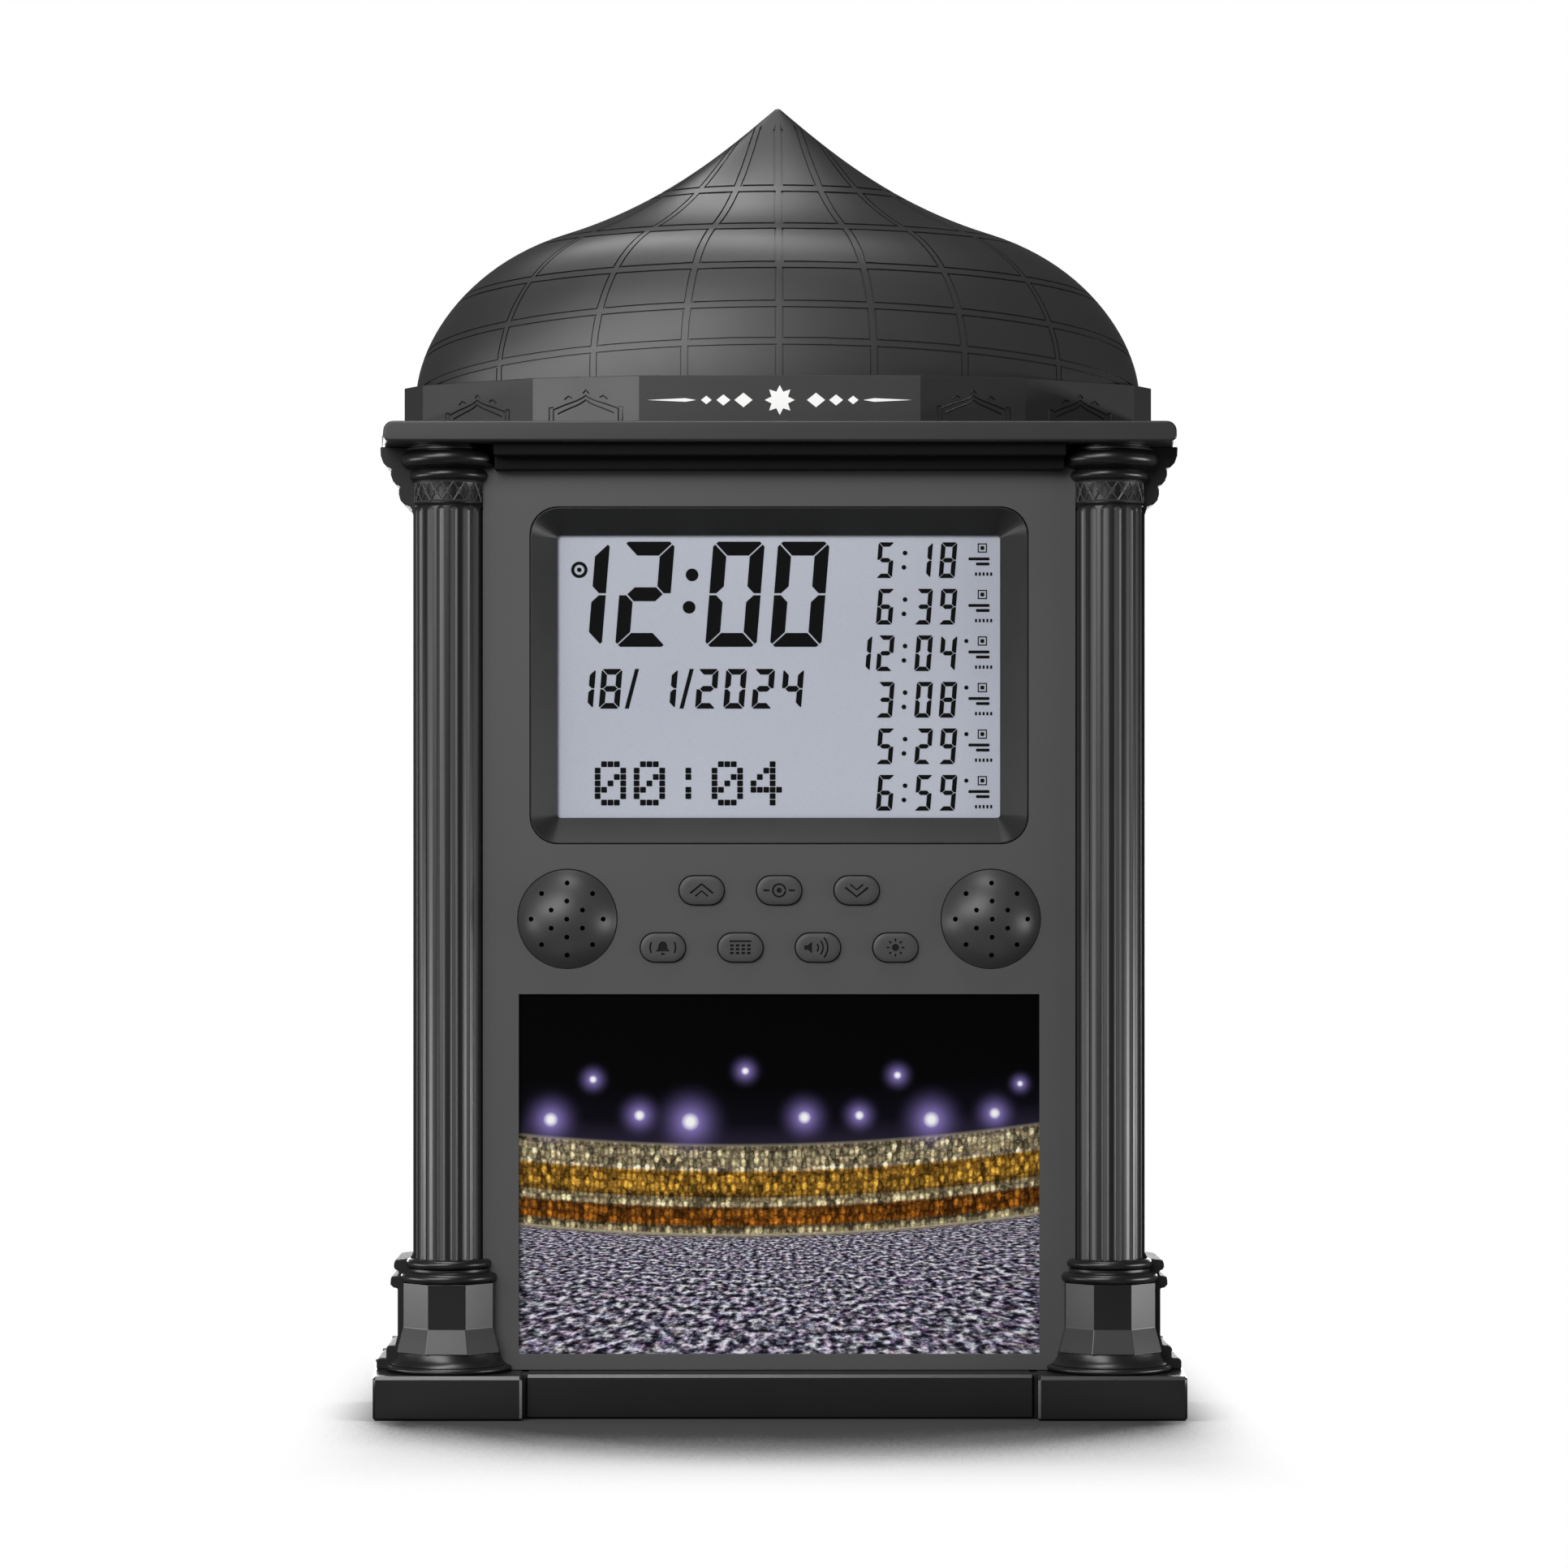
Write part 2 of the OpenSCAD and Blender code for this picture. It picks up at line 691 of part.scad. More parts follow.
// Tray that holds the display to the bezel and carries the main board
module lcd_carrier() {
    color("#e6e6e2") place([0, display_z]) difference() {
        union() {
            slab(lcd_y, carrier_back) square([bezel_w - 0.6, bezel_h - 0.6], center = true);
            for (x = [-1, 1]) for (z = [-1, 1]) place([x * stud_x, z * stud_z])
                bar(stud_r, carrier_back - 0.4, board_y);
        }
        slab(lcd_y - eps, lcd_y + lcd_t + 0.1) square([lcd_w + 0.4, lcd_h + 0.4], center = true);
        slab(lcd_y, carrier_back + eps) square([view_w - 20, view_h - 22], center = true);
        for (s = [-1, 1]) translate([0, 0, s * zebra_z]) slab(lcd_y, carrier_back + eps)
            square([view_w - 4, 2.6], center = true);
        for (x = [-1, 1]) for (z = [-1, 1]) place([x * stud_x, z * stud_z])
            bar(pilot_r, lcd_y, board_y + eps);
    }
}

module zebra_strips() {
    color("#5c5c66") place([0, display_z]) for (s = [-1, 1]) translate([0, 0, s * zebra_z])
        slab(lcd_y + lcd_front_t, board_y) square([view_w - 5, 2], center = true);
}

module main_board() {
    color(board_green) place([0, display_z]) difference() {
        slab(board_y, board_back) square([board_w, board_h], center = true);
        for (x = [-1, 1]) for (z = [-1, 1]) place([x * stud_x, z * stud_z])
            bar(pilot_r + 0.3, board_y - eps, board_back + eps);
    }
}

// Sockets for the leads and the ribbon, on the back of the main board
plug_z = display_z - board_h / 2 + 8;
battery_plug_x = -38;
speaker_plug_x = 46;
ribbon_x = 6;
ribbon_w = 12;

module board_components() {
    color("#1b1b1b") place([0, display_z]) {
        place([0, 6]) slab(board_back, board_back + 1.6) square([16, 16], center = true);
        place([-28, 12]) slab(board_back, board_back + 1.4) square([10, 7], center = true);
        place([26, 8]) slab(board_back, board_back + 1.4) square([8, 6], center = true);
        place([-12, 18]) slab(board_back, board_back + 2.4) stadium(10, 4);
        for (p = [[38, 14], [38, 2], [-40, -6]]) place(p) bar(2.5, board_back, board_back + 6);
    }
    color("#e9e4d6") {
        place([battery_plug_x, plug_z]) slab(board_back, board_back + 4) square([6, 5], center = true);
        for (s = [-1, 1]) place([s * speaker_plug_x, plug_z]) slab(board_back, board_back + 4)
            square([6, 5], center = true);
    }
}

module screw(y_tip, y_seat, shank, head, head_t) {
    difference() {
        union() {
            bar(shank, y_tip, y_seat + eps);
            bar(head, y_seat, y_seat + head_t);
        }
        for (a = [0, 90]) rotate([0, a, 0]) slab(y_seat + head_t - 0.8, y_seat + head_t + eps)
            square([head * 1.3, head * 0.28], center = true);
    }
}

module board_screws() {
    color("silver") place([0, display_z]) for (x = [-1, 1]) for (z = [-1, 1])
        place([x * stud_x, z * stud_z])
            screw(lcd_y + lcd_t + 0.6, board_back, pilot_r - 0.05, 1.9, 1.3);
}

module key_board() {
    mid_z = (upper_z + lower_z) / 2;
    color(board_green) difference() {
        place([0, mid_z]) slab(key_board_y, key_board_y + key_board_t)
            square([key_board_w, key_board_h], center = true);
        for (p = key_studs) place(p)
            bar(pilot_r + 0.3, key_board_y - eps, key_board_y + key_board_t + eps);
    }
}

module key_board_screws() {
    color("silver") for (p = key_studs) place(p)
        screw(key_board_y - 4.4, key_board_y + key_board_t, pilot_r - 0.05, 1.9, 1.3);
}

module key_switches() {
    color("#303236") for (p = key_at) place(p) difference() {
        slab(key_board_y - switch_h, key_board_y) square([switch_w, switch_w], center = true);
        bar(stem_r + stem_gap, key_board_y - switch_h - eps,
            key_board_y - switch_h + stem_reach + key_travel + stop_gap);
    }
}

module key(p) {
    stem_end = key_board_y - switch_h + stem_reach;
    color(panel_grey) place(p) {
        slab(panel_y - key_proud, panel_back + key_gap + eps) stadium(key_w, key_h);
        slab(panel_back + key_gap, panel_back + key_gap + key_flange_t)
            stadium(key_w + 2 * key_flange, key_h + 2 * key_flange);
        bar(stem_r, panel_back + key_gap + key_flange_t - eps, stem_end);
    }
}

module up_button() { key(key_at[0]); }
module set_button() { key(key_at[1]); }
module down_button() { key(key_at[2]); }
module alarm_button() { key(key_at[3]); }
module date_button() { key(key_at[4]); }
module volume_button() { key(key_at[5]); }
module light_button() { key(key_at[6]); }

// Flat ribbon from the key board up to the back of the main board
module key_ribbon() {
    ribbon_t = 0.5;
    low_y = key_board_y + key_board_t;
    edge_z = display_z - board_h / 2;
    color("#c9cbd0") translate([ribbon_x - ribbon_w / 2, 0, 0]) rotate([90, 0, 90])
        linear_extrude(ribbon_w) polygon([
            [low_y, upper_z], [low_y + ribbon_t, upper_z], [low_y + ribbon_t, edge_z - 4.2],
            [board_back + ribbon_t, edge_z - 0.8], [board_back + ribbon_t, edge_z + 5],
            [board_back, edge_z + 5], [board_back, edge_z - 0.5], [low_y, edge_z - 4]
        ]);
}

// Perforated dome, held behind the panel by its flange
module speaker_grille(x) {
    ball_y = panel_y - grille_h + grille_ball;
    skin_t = 1.2;
    holes = concat([[0, 0]],
        [for (i = [0 : 5]) [i * 60, 4.25]],
        [for (i = [0 : 7]) [i * 45, 8.5]]);
    color(case_black) translate([x, 0, keys_z]) difference() {
        union() {
            intersection() {
                translate([0, ball_y, 0]) sphere(r = grille_ball);
                bar(grille_r, panel_y - grille_h - 1, panel_y + eps);
            }
            bar(grille_r, panel_y, panel_back + eps);
            bar(basket_r, panel_back, basket_y);
        }
        intersection() {
            translate([0, ball_y, 0]) sphere(r = grille_ball - skin_t);
            bar(grille_r - skin_t, panel_y - grille_h, panel_y + 1);
        }
        bar(grille_r - skin_t, panel_y, basket_y + eps);
        for (h = holes) rotate([0, h[0], 0]) translate([0, 0, h[1]])
            bar(sound_hole_r, panel_y - grille_h - 1, panel_y + 1, $fn = 16);
    }
}

module left_speaker_grille() { speaker_grille(-speaker_x); }
module right_speaker_grille() { speaker_grille(speaker_x); }

module speaker(x) {
    color("#8d9096") translate([x, 0, keys_z]) {
        difference() {
            bar(basket_r, basket_y, basket_y + basket_t);
            bar(basket_r - 1.4, basket_y - eps, basket_y + basket_t - 1);
        }
        bar(magnet_r, basket_y + basket_t - eps, basket_y + basket_t + magnet_t);
        place([0, tab_z]) slab(basket_y + basket_t - eps, basket_y + basket_t + 1)
            square([7, 3], center = true);
    }
}

module left_speaker() { speaker(-speaker_x); }
module right_speaker() { speaker(speaker_x); }

// Paper cones, each with a round surround and a dust cap
module speaker_cones() {
    color("#2a2a2a") for (s = [-1, 1]) translate([s * speaker_x, basket_y, keys_z])
        rotate([-90, 0, 0]) rotate_extrude() polygon([
            [0, 1.2], [3.6, 1.2], [4, 1.4], [basket_r - 2.6, 0.3], [basket_r - 1.5, 0.3],
            [basket_r - 1.5, 0.8], [basket_r - 2.6, 0.8], [4, 1.95], [0, 1.95]
        ]);
}

module picture_window() {
    color("#dfe6ea", 0.4) place([0, picture_z]) slab(panel_y + lip_t, panel_y + lip_t + glass_t)
        square([card_w, card_h], center = true);
}

module picture_card() {
    y0 = panel_y + lip_t + glass_t;
    color("#6d5a35") place([0, picture_z]) slab(y0, y0 + card_t) square([card_w, card_h], center = true);
}

module picture_backing() {
    y0 = panel_y + lip_t + glass_t + card_t;
    color("#3c3c3c") place([0, picture_z]) {
        slab(y0, y0 + backing_t) square([card_w, card_h], center = true);
        for (s = [-1, 1]) for (x = [-1, 1]) place([x * card_w / 3.4, s * (card_h / 2 - 3)])
            slab(y0 + backing_t - eps, y0 + backing_t + 1.4) square([12, 1.6], center = true);
    }
}

module battery_tray() {
    color("#333333") difference() {
        block(-bay_w / 2 - tray_wall, bay_w / 2 + tray_wall, tray_y, seam_y,
            bay_low - tray_wall, bay_low + bay_h + tray_wall);
        block(-bay_w / 2, bay_w / 2, tray_y + tray_wall, seam_y + eps, bay_low, bay_low + bay_h);
        block(-door_w / 2, door_w / 2, seam_y - 4, seam_y + eps, bay_low - tray_wall - eps, bay_low + eps);
        for (z = cell_rows) block(-bay_w / 2 - tray_wall - eps, -bay_w / 2 + eps,
            cell_y - 1.2, cell_y + 1.2, z - 0.4, z + 0.4);
    }
}

// Direction of each cell: 1 has its tip on the right, -1 on the left
cell_turn = [1, -1];

module battery_cells() {
    body_l = cell_l - tip_l;
    color("#8a6d3b") for (i = [0, 1]) translate([0, cell_y, cell_rows[i]])
        scale(1) rotate([0, cell_turn[i] * 90, 0])
            translate([0, 0, -bay_w / 2 + contact_t + spring_l + 0.2]) {
                cylinder(h = body_l, r = cell_r);
                cylinder(h = cell_l, r = tip_r);
            }
}

module battery_springs() {
    color("silver") for (i = [0, 1]) translate([0, cell_y, cell_rows[i]])
        rotate([0, cell_turn[i] * 90, 0]) translate([0, 0, -bay_w / 2 + contact_t]) difference() {
            cylinder(h = spring_l, r = 3.6);
            translate([0, 0, -eps]) cylinder(h = spring_l + 1, r = 2.6);
        }
}

// Plates behind the cells; two of them have a tag through the tray's side
module battery_contacts() {
    color("gold") {
        for (s = [-1, 1]) for (z = cell_rows) block(
            s < 0 ? -bay_w / 2 : bay_w / 2 - contact_t, s < 0 ? -bay_w / 2 + contact_t : bay_w / 2,
            cell_y - 4.6, cell_y + 4.6, z - 5, z + 5);
        block(bay_w / 2 - contact_t, bay_w / 2, cell_y - 2, cell_y + 2, cell_rows[0], cell_rows[1]);
        for (z = cell_rows) block(-bay_w / 2 - tray_wall - 1.6, -bay_w / 2 + eps,
            cell_y - 1, cell_y + 1, z - 0.25, z + 0.25);
    }
}

module battery_door() {
    latch_w = 9;
    color(case_black) {
        difference() {
            block(-door_w / 2, door_w / 2, seam_y, back_y, bay_low + door_gap, bay_low + door_gap + door_h);
            for (i = [0 : 3]) block(-10, 10, back_y - 0.5, back_y + eps,
                bay_low + 6 + 2.4 * i, bay_low + 7 + 2.4 * i);
        }
        for (s = [-1, 1]) {
            block(s * tab_x - tab_w / 2, s * tab_x + tab_w / 2, seam_y - 1.4, seam_y - 0.2,
                bay_low - door_tab, bay_low + 3);
            block(s * tab_x - tab_w / 2, s * tab_x + tab_w / 2, seam_y - 0.2 - eps, seam_y + eps,
                bay_low + door_gap, bay_low + 3);
        }
        block(-latch_w / 2, latch_w / 2, seam_y - 1.6, seam_y + eps,
            bay_low + bay_h - 2, bay_low + bay_h - 0.6);
    }
}

module cover_screws() {
    color("silver") for (p = all_screws) place(p)
        screw(pillar_y - 8, back_y - head_depth, screw_r - 0.05, head_r, 2.2);
}

// Leads start just off a tag or tab and end just under their socket on the main board
lead_r = 0.7;
lead_gap = 0.2;
socket_low = plug_z - 2.5 - lead_gap;

module battery_leads() {
    for (i = [0, 1]) {
        dx = i == 0 ? -1.2 : 1.2;
        start = [-bay_w / 2 - tray_wall - 1.8, cell_y, cell_rows[i]];
        color(i == 0 ? "#202020" : "#b02020") tube(smooth_route([
            start, start + [-1.5, 0, 0], start + [-3.4 + dx / 2, 0.6, 4],
            [battery_plug_x + dx - 1, cell_y + 2, keys_z],
            [battery_plug_x + dx, board_back + 2.2, plug_z - 8],
            [battery_plug_x + dx, board_back + 2, socket_low - 2],
            [battery_plug_x + dx, board_back + 2, socket_low]
        ], 3), lead_r);
    }
}

module speaker_leads(side) {
    tab_y = basket_y + basket_t + 1;
    for (i = [0, 1]) {
        dx = i == 0 ? -1.2 : 1.2;
        color(i == 0 ? "#202020" : "#b02020") tube(smooth_route([
            [side * speaker_x + 2 * dx, tab_y + lead_gap, keys_z + tab_z],
            [side * speaker_x + 2 * dx, tab_y + 2, keys_z + tab_z],
            [side * (speaker_x - 1) + 1.5 * dx, board_back + 0.6, keys_z + tab_z + 4],
            [side * speaker_plug_x + dx, board_back + 2.2, plug_z - 7],
            [side * speaker_plug_x + dx, board_back + 2, socket_low - 1.6],
            [side * speaker_plug_x + dx, board_back + 2, socket_low]
        ], 3), lead_r);
    }
}

module left_speaker_leads() { speaker_leads(-1); }
module right_speaker_leads() { speaker_leads(1); }

rear_cover();
base_plinth();
left_column();
right_column();
cornice();
drum_band();
dome_shell();
front_panel();
display_bezel();
display_window();
lcd_panel();
lcd_carrier();
zebra_strips();
main_board();
board_components();
board_screws();
key_board();
key_switches();
key_board_screws();
key_ribbon();
left_speaker_grille();
right_speaker_grille();
left_speaker();
right_speaker();
speaker_cones();
picture_window();
picture_card();
picture_backing();
battery_tray();
battery_cells();
battery_springs();
battery_contacts();
cover_screws();
battery_leads();
left_speaker_leads();
right_speaker_leads();
up_button();
set_button();
down_button();
alarm_button();
date_button();
volume_button();
light_button();
battery_door();
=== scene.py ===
import math

import bmesh
import bpy
from mathutils import Matrix, Vector


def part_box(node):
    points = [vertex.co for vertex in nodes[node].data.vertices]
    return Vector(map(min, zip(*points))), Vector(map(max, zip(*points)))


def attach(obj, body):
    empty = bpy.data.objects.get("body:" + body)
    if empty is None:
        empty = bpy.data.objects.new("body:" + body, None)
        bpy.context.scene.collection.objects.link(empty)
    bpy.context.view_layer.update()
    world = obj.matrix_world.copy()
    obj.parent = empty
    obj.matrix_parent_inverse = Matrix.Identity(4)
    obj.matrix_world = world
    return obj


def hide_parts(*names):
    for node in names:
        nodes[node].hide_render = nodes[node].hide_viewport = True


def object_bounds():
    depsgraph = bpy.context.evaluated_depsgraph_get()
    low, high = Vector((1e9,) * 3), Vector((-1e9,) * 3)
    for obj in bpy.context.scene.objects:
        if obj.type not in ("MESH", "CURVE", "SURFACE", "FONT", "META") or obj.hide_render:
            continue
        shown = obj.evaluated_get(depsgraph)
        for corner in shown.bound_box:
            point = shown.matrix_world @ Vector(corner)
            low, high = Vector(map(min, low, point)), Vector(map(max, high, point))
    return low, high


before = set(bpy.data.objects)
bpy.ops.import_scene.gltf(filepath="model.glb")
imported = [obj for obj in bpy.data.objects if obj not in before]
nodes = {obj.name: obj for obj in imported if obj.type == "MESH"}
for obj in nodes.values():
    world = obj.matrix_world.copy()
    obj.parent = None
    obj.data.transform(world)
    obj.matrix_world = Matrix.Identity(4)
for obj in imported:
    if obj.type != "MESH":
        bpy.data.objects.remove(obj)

cadLow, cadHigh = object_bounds()
mm = 0.001
weldReach = 0.002 * mm  # vertices nearer than this are one

# Camera: where the picture was taken from. The lens is shifted, so uprights stay upright.
photo = {
    "eye": (-17, -1080, 127),  # mm
    "lens": 104.4, "sensor": 36,  # mm
    "shift": (0.049, 0.059),
    "clipStart": 0.05,  # m
}


def deselectAll():
    if bpy.context.mode != "OBJECT":
        bpy.ops.object.mode_set(mode="OBJECT")
    bpy.ops.object.select_all(action="DESELECT")


deselectAll()
bpy.ops.object.camera_add(location=[c * mm for c in photo["eye"]], rotation=(math.pi / 2, 0, 0))
camera = bpy.context.object
camera.data.lens = photo["lens"]
camera.data.sensor_width = photo["sensor"]
camera.data.shift_x, camera.data.shift_y = photo["shift"]
camera.data.clip_start = photo["clipStart"]
bpy.context.scene.camera = camera
print("camera placed")


# Modelling tools

def selectOnly(piece):
    deselectAll()
    piece.select_set(True)
    bpy.context.view_layer.objects.active = piece


def editOn(piece):  # only this piece is selected, in edit mode with nothing picked
    selectOnly(piece)
    bpy.ops.object.mode_set(mode="EDIT")
    bpy.ops.mesh.select_mode(type="VERT")
    bpy.ops.mesh.select_all(action="DESELECT")


def editOff():
    bpy.ops.object.mode_set(mode="OBJECT")


def pickAll():
    bpy.ops.mesh.select_all(action="SELECT")


def pick(piece, what, test):  # in edit mode: picks the verts, edges or faces that pass the test
    bpy.ops.mesh.select_mode(type={"verts": "VERT", "edges": "EDGE", "faces": "FACE"}[what])
    bpy.ops.mesh.select_all(action="DESELECT")
    mesh = bmesh.from_edit_mesh(piece.data)
    for part in getattr(mesh, what):
        if test(part):
            part.select_set(True)
    mesh.select_flush_mode()
    bmesh.update_edit_mesh(piece.data)


def applyPlace(piece):
    selectOnly(piece)
    bpy.ops.object.transform_apply(location=True, rotation=True, scale=True)
    return piece


def keepAs(name):  # names the primitive that was just added
    bpy.context.object.name = name
    return applyPlace(bpy.context.object)


def addBox(name, low, high):  # corners in mm
    deselectAll()
    size = [(b - a) * mm for a, b in zip(low, high)]
    middle = [(a + b) / 2 * mm for a, b in zip(low, high)]
    bpy.ops.mesh.primitive_cube_add(size=1, location=middle, scale=size)
    return keepAs(name)


def addRod(name, radius, y0, y1, x, z, sides=48):  # round bar that runs front to back, mm
    deselectAll()
    bpy.ops.mesh.primitive_cylinder_add(vertices=sides, radius=radius * mm, depth=(y1 - y0) * mm,
                                        location=(x * mm, (y0 + y1) / 2 * mm, z * mm),
                                        rotation=(math.pi / 2, 0, 0))
    return keepAs(name)


def faceOutwards(piece):
    if bpy.context.mode == "OBJECT":
        editOn(piece)
    pickAll()
    bpy.ops.mesh.remove_doubles(threshold=weldReach)
    bpy.ops.mesh.normals_make_consistent(inside=False)
    editOff()
    return piece


def drawLine(name, points):  # a line of vertices, extruded from point to point, left in edit mode, mm
    deselectAll()
    bpy.ops.mesh.primitive_plane_add(size=mm, location=(0, 0, 0))
    piece = bpy.context.object
    piece.name = name
    bpy.ops.object.mode_set(mode="EDIT")
    bpy.ops.mesh.select_mode(type="VERT")
    pickAll()
    bpy.ops.mesh.merge(type="CENTER")
    points = [Vector(p) * mm for p in points]
    bpy.ops.transform.translate(value=points[0])
    for a, b in zip(points, points[1:]):
        bpy.ops.mesh.extrude_region_move(TRANSFORM_OT_translate={"value": b - a})
    return piece


def closeLine(piece):  # joins the two ends of a drawn line
    pick(piece, "verts", lambda v: len(v.link_edges) == 1)
    bpy.ops.mesh.edge_face_add()


def drawSlab(name, points, push):  # closed outline of points, filled and pushed out to a slab, mm
    piece = drawLine(name, points)
    closeLine(piece)
    pickAll()
    bpy.ops.mesh.edge_face_add()
    bpy.ops.mesh.extrude_region_move(TRANSFORM_OT_translate={"value": Vector(push) * mm})
    return faceOutwards(piece)


def drawPlate(name, outline, y0, y1):  # closed outline as (x, z) pairs, given a thickness, mm
    return drawSlab(name, ringAt(outline, y0), (0, y1 - y0, 0))


def spinLine(name, points, steps, centre, axis):  # a section spun to a round body, mm
    piece = drawLine(name, points)
    pickAll()
    bpy.ops.mesh.spin(steps=steps, angle=2 * math.pi, center=Vector(centre) * mm, axis=axis)
    return faceOutwards(piece)


def copyOf(piece, name):
    twin = piece.copy()
    twin.data = piece.data.copy()
    twin.name = name
    bpy.context.scene.collection.objects.link(twin)
    return twin


def mirrorOf(piece, name):  # the same piece on the other side of the clock
    twin = copyOf(piece, name)
    twin.data.transform(Matrix.Scale(-1, 4, (1, 0, 0)))
    return faceOutwards(twin)


def movePiece(piece, x, y, z):  # the place stays in the mesh, mm
    piece.data.transform(Matrix.Translation((x * mm, y * mm, z * mm)))
    return piece


def joinPieces(name, pieces):
    deselectAll()
    for piece in pieces:
        piece.select_set(True)
    bpy.context.view_layer.objects.active = pieces[0]
    if len(pieces) > 1:
        bpy.ops.object.join()
    pieces[0].name = name
    return pieces[0]


def applyModifier(piece, kind, settings):
    deselectAll()
    bpy.context.view_layer.objects.active = piece
    tool = piece.modifiers.new("tool", kind)
    for key, value in settings.items():
        setattr(tool, key, value)
    bpy.ops.object.modifier_apply(modifier=tool.name)
    return piece


def cutOut(piece, cutter):
    applyModifier(piece, "BOOLEAN", {"operation": "DIFFERENCE", "solver": "EXACT", "object": cutter})
    bpy.data.objects.remove(cutter)
    return piece


def softenEdges(piece, width, segments=2, angle=35):  # width in mm
    return applyModifier(piece, "BEVEL", {"width": width * mm, "segments": segments, "limit_method": "ANGLE",
                                          "angle_limit": math.radians(angle), "use_clamp_overlap": True})


def softCopy(node, name, width):  # a CAD piece again, with its edges softened
    piece = bpy.data.objects.new(name, nodes[node].data.copy())
    bpy.context.scene.collection.objects.link(piece)
    editOn(piece)
    bpy.ops.mesh.customdata_custom_splitnormals_clear()
    pickAll()
    bpy.ops.mesh.remove_doubles(threshold=weldReach)
    pickAll()
    bpy.ops.mesh.dissolve_limited(angle_limit=math.radians(1))
    editOff()
    return softenEdges(piece, width, angle=40)


def roundedOutline(halfWidth, halfHeight, radius, steps=6):  # rounded rectangle as (x, z) pairs, mm
    points = []
    for i, (sx, sz) in enumerate(((1, 1), (-1, 1), (-1, -1), (1, -1))):
        for step in range(steps + 1):
            turn = math.radians(90 * (i + step / steps))
            points.append((sx * (halfWidth - radius) + radius * math.cos(turn),
                           sz * (halfHeight - radius) + radius * math.sin(turn)))
    return points


def roundedAt(halfWidth, halfHeight, radius, x=0, z=0):  # small rounded mark, mm
    return [(x + px, z + pz) for px, pz in roundedOutline(halfWidth, halfHeight, radius, 3)]


def roundMark(x, z, radius, sides=28):
    return [(x + radius * math.cos(2 * math.pi * k / sides), z + radius * math.sin(2 * math.pi * k / sides))
            for k in range(sides)]


def arcBand(radius, thick, start, stop, steps=14, x=0, z=0):  # band along an arc, degrees and mm
    turns = [math.radians(start + (stop - start) * k / steps) for k in range(steps + 1)]
    inner = radius - thick
    return ([(x + radius * math.cos(t), z + radius * math.sin(t)) for t in turns]
            + [(x + inner * math.cos(t), z + inner * math.sin(t)) for t in reversed(turns)])


def ringAt(outline, y, z=0):  # an outline in (x, z) as points at depth y
    return [(px, y, z + pz) for px, pz in outline]


def bridgeRings(name, rings, closeEnds=True):  # skin over rings of as many points each, in order
    drawn = []
    for points in rings:
        ring = drawLine("ring", points)
        closeLine(ring)
        editOff()
        drawn.append(ring)
    skins = []
    for first, second in zip(drawn, drawn[1:]):
        skin = joinPieces("skin", [copyOf(first, "first"), copyOf(second, "second")])
        editOn(skin)
        pickAll()
        bpy.ops.mesh.bridge_edge_loops()
        editOff()
        skins.append(skin)
    for ring in drawn:
        bpy.data.objects.remove(ring)
    piece = joinPieces(name, skins)
    editOn(piece)
    pickAll()
    bpy.ops.mesh.remove_doubles(threshold=weldReach)
    if closeEnds:
        pickAll()
        bpy.ops.mesh.fill_holes(sides=0)
    return faceOutwards(piece)


# Thin half-sunk beads along lines, where place turns (u, v) into x, y, z in mm
def makeRelief(name, lines, radius, place):
    beads = []
    for line in lines:
        deselectAll()
        bpy.ops.curve.primitive_bezier_curve_add()
        bead = bpy.context.object
        bead.data.splines.clear()
        path = bead.data.splines.new("POLY")
        path.points.add(len(line) - 1)
        for point, (u, v) in zip(path.points, line):
            point.co = (*[n * mm for n in place(u, v)], 1)
        bead.data.bevel_depth = radius * mm
        bead.data.bevel_resolution = 1
        bead.data.use_fill_caps = True
        bpy.ops.object.convert(target="MESH")
        beads.append(bpy.context.object)
    return faceOutwards(applyPlace(joinPieces(name, beads)))


def finishPiece(piece, body, material, replaces=(), smooth=35):
    selectOnly(piece)
    bpy.ops.object.shade_smooth_by_angle(angle=math.radians(smooth))
    applyModifier(piece, "WEIGHTED_NORMAL", {"keep_sharp": True})  # keeps flat faces flat beside soft edges
    piece.data.materials.clear()
    piece.data.materials.append(material)
    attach(piece, body)
    if replaces:
        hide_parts(*replaces)


# Colours and nodes

def toLinear(code):  # sRGB hex to linear
    parts = [int(code[i:i + 2], 16) / 255 for i in (1, 3, 5)]
    return tuple(c / 12.92 if c <= 0.04045 else ((c + 0.055) / 1.055) ** 2.4 for c in parts) + (1.0,)


def addNode(tree, kind, inputs, out=0):  # a value that is another node's output is linked, others are set
    node = tree.nodes.new("ShaderNode" + kind)
    for key, value in inputs.items():
        if isinstance(value, bpy.types.NodeSocket):
            tree.links.new(value, node.inputs[key])
        elif isinstance(key, int) or key in node.inputs:
            node.inputs[key].default_value = value
        else:
            setattr(node, key, value)
    return node.outputs[out] if len(node.outputs) else None


def paintRamp(ramp, stops):  # stops are (place from 0 to 1, colour)
    marks = ramp.node.color_ramp.elements
    while len(marks) < len(stops):
        marks.new(1)
    for mark, (place, colour) in zip(marks, stops):
        mark.position = place
        mark.color = toLinear(colour)
    return ramp


def newMaterial(name):  # with the Object coordinates that its patterns follow
    material = bpy.data.materials.new(name)
    material.use_nodes = True
    tree = material.node_tree
    tree.nodes.clear()
    return material, tree, addNode(tree, "TexCoord", {}, "Object")


def closeMaterial(material, inputs):
    tree = material.node_tree
    addNode(tree, "OutputMaterial", {"Surface": addNode(tree, "BsdfPrincipled", inputs)})
    return material


# Injection moulded plastic: a fine spark-eroded grain and a faint unevenness of the shine
patchWidth = 14  # mm, how far apart the mould's dull and bright patches lie


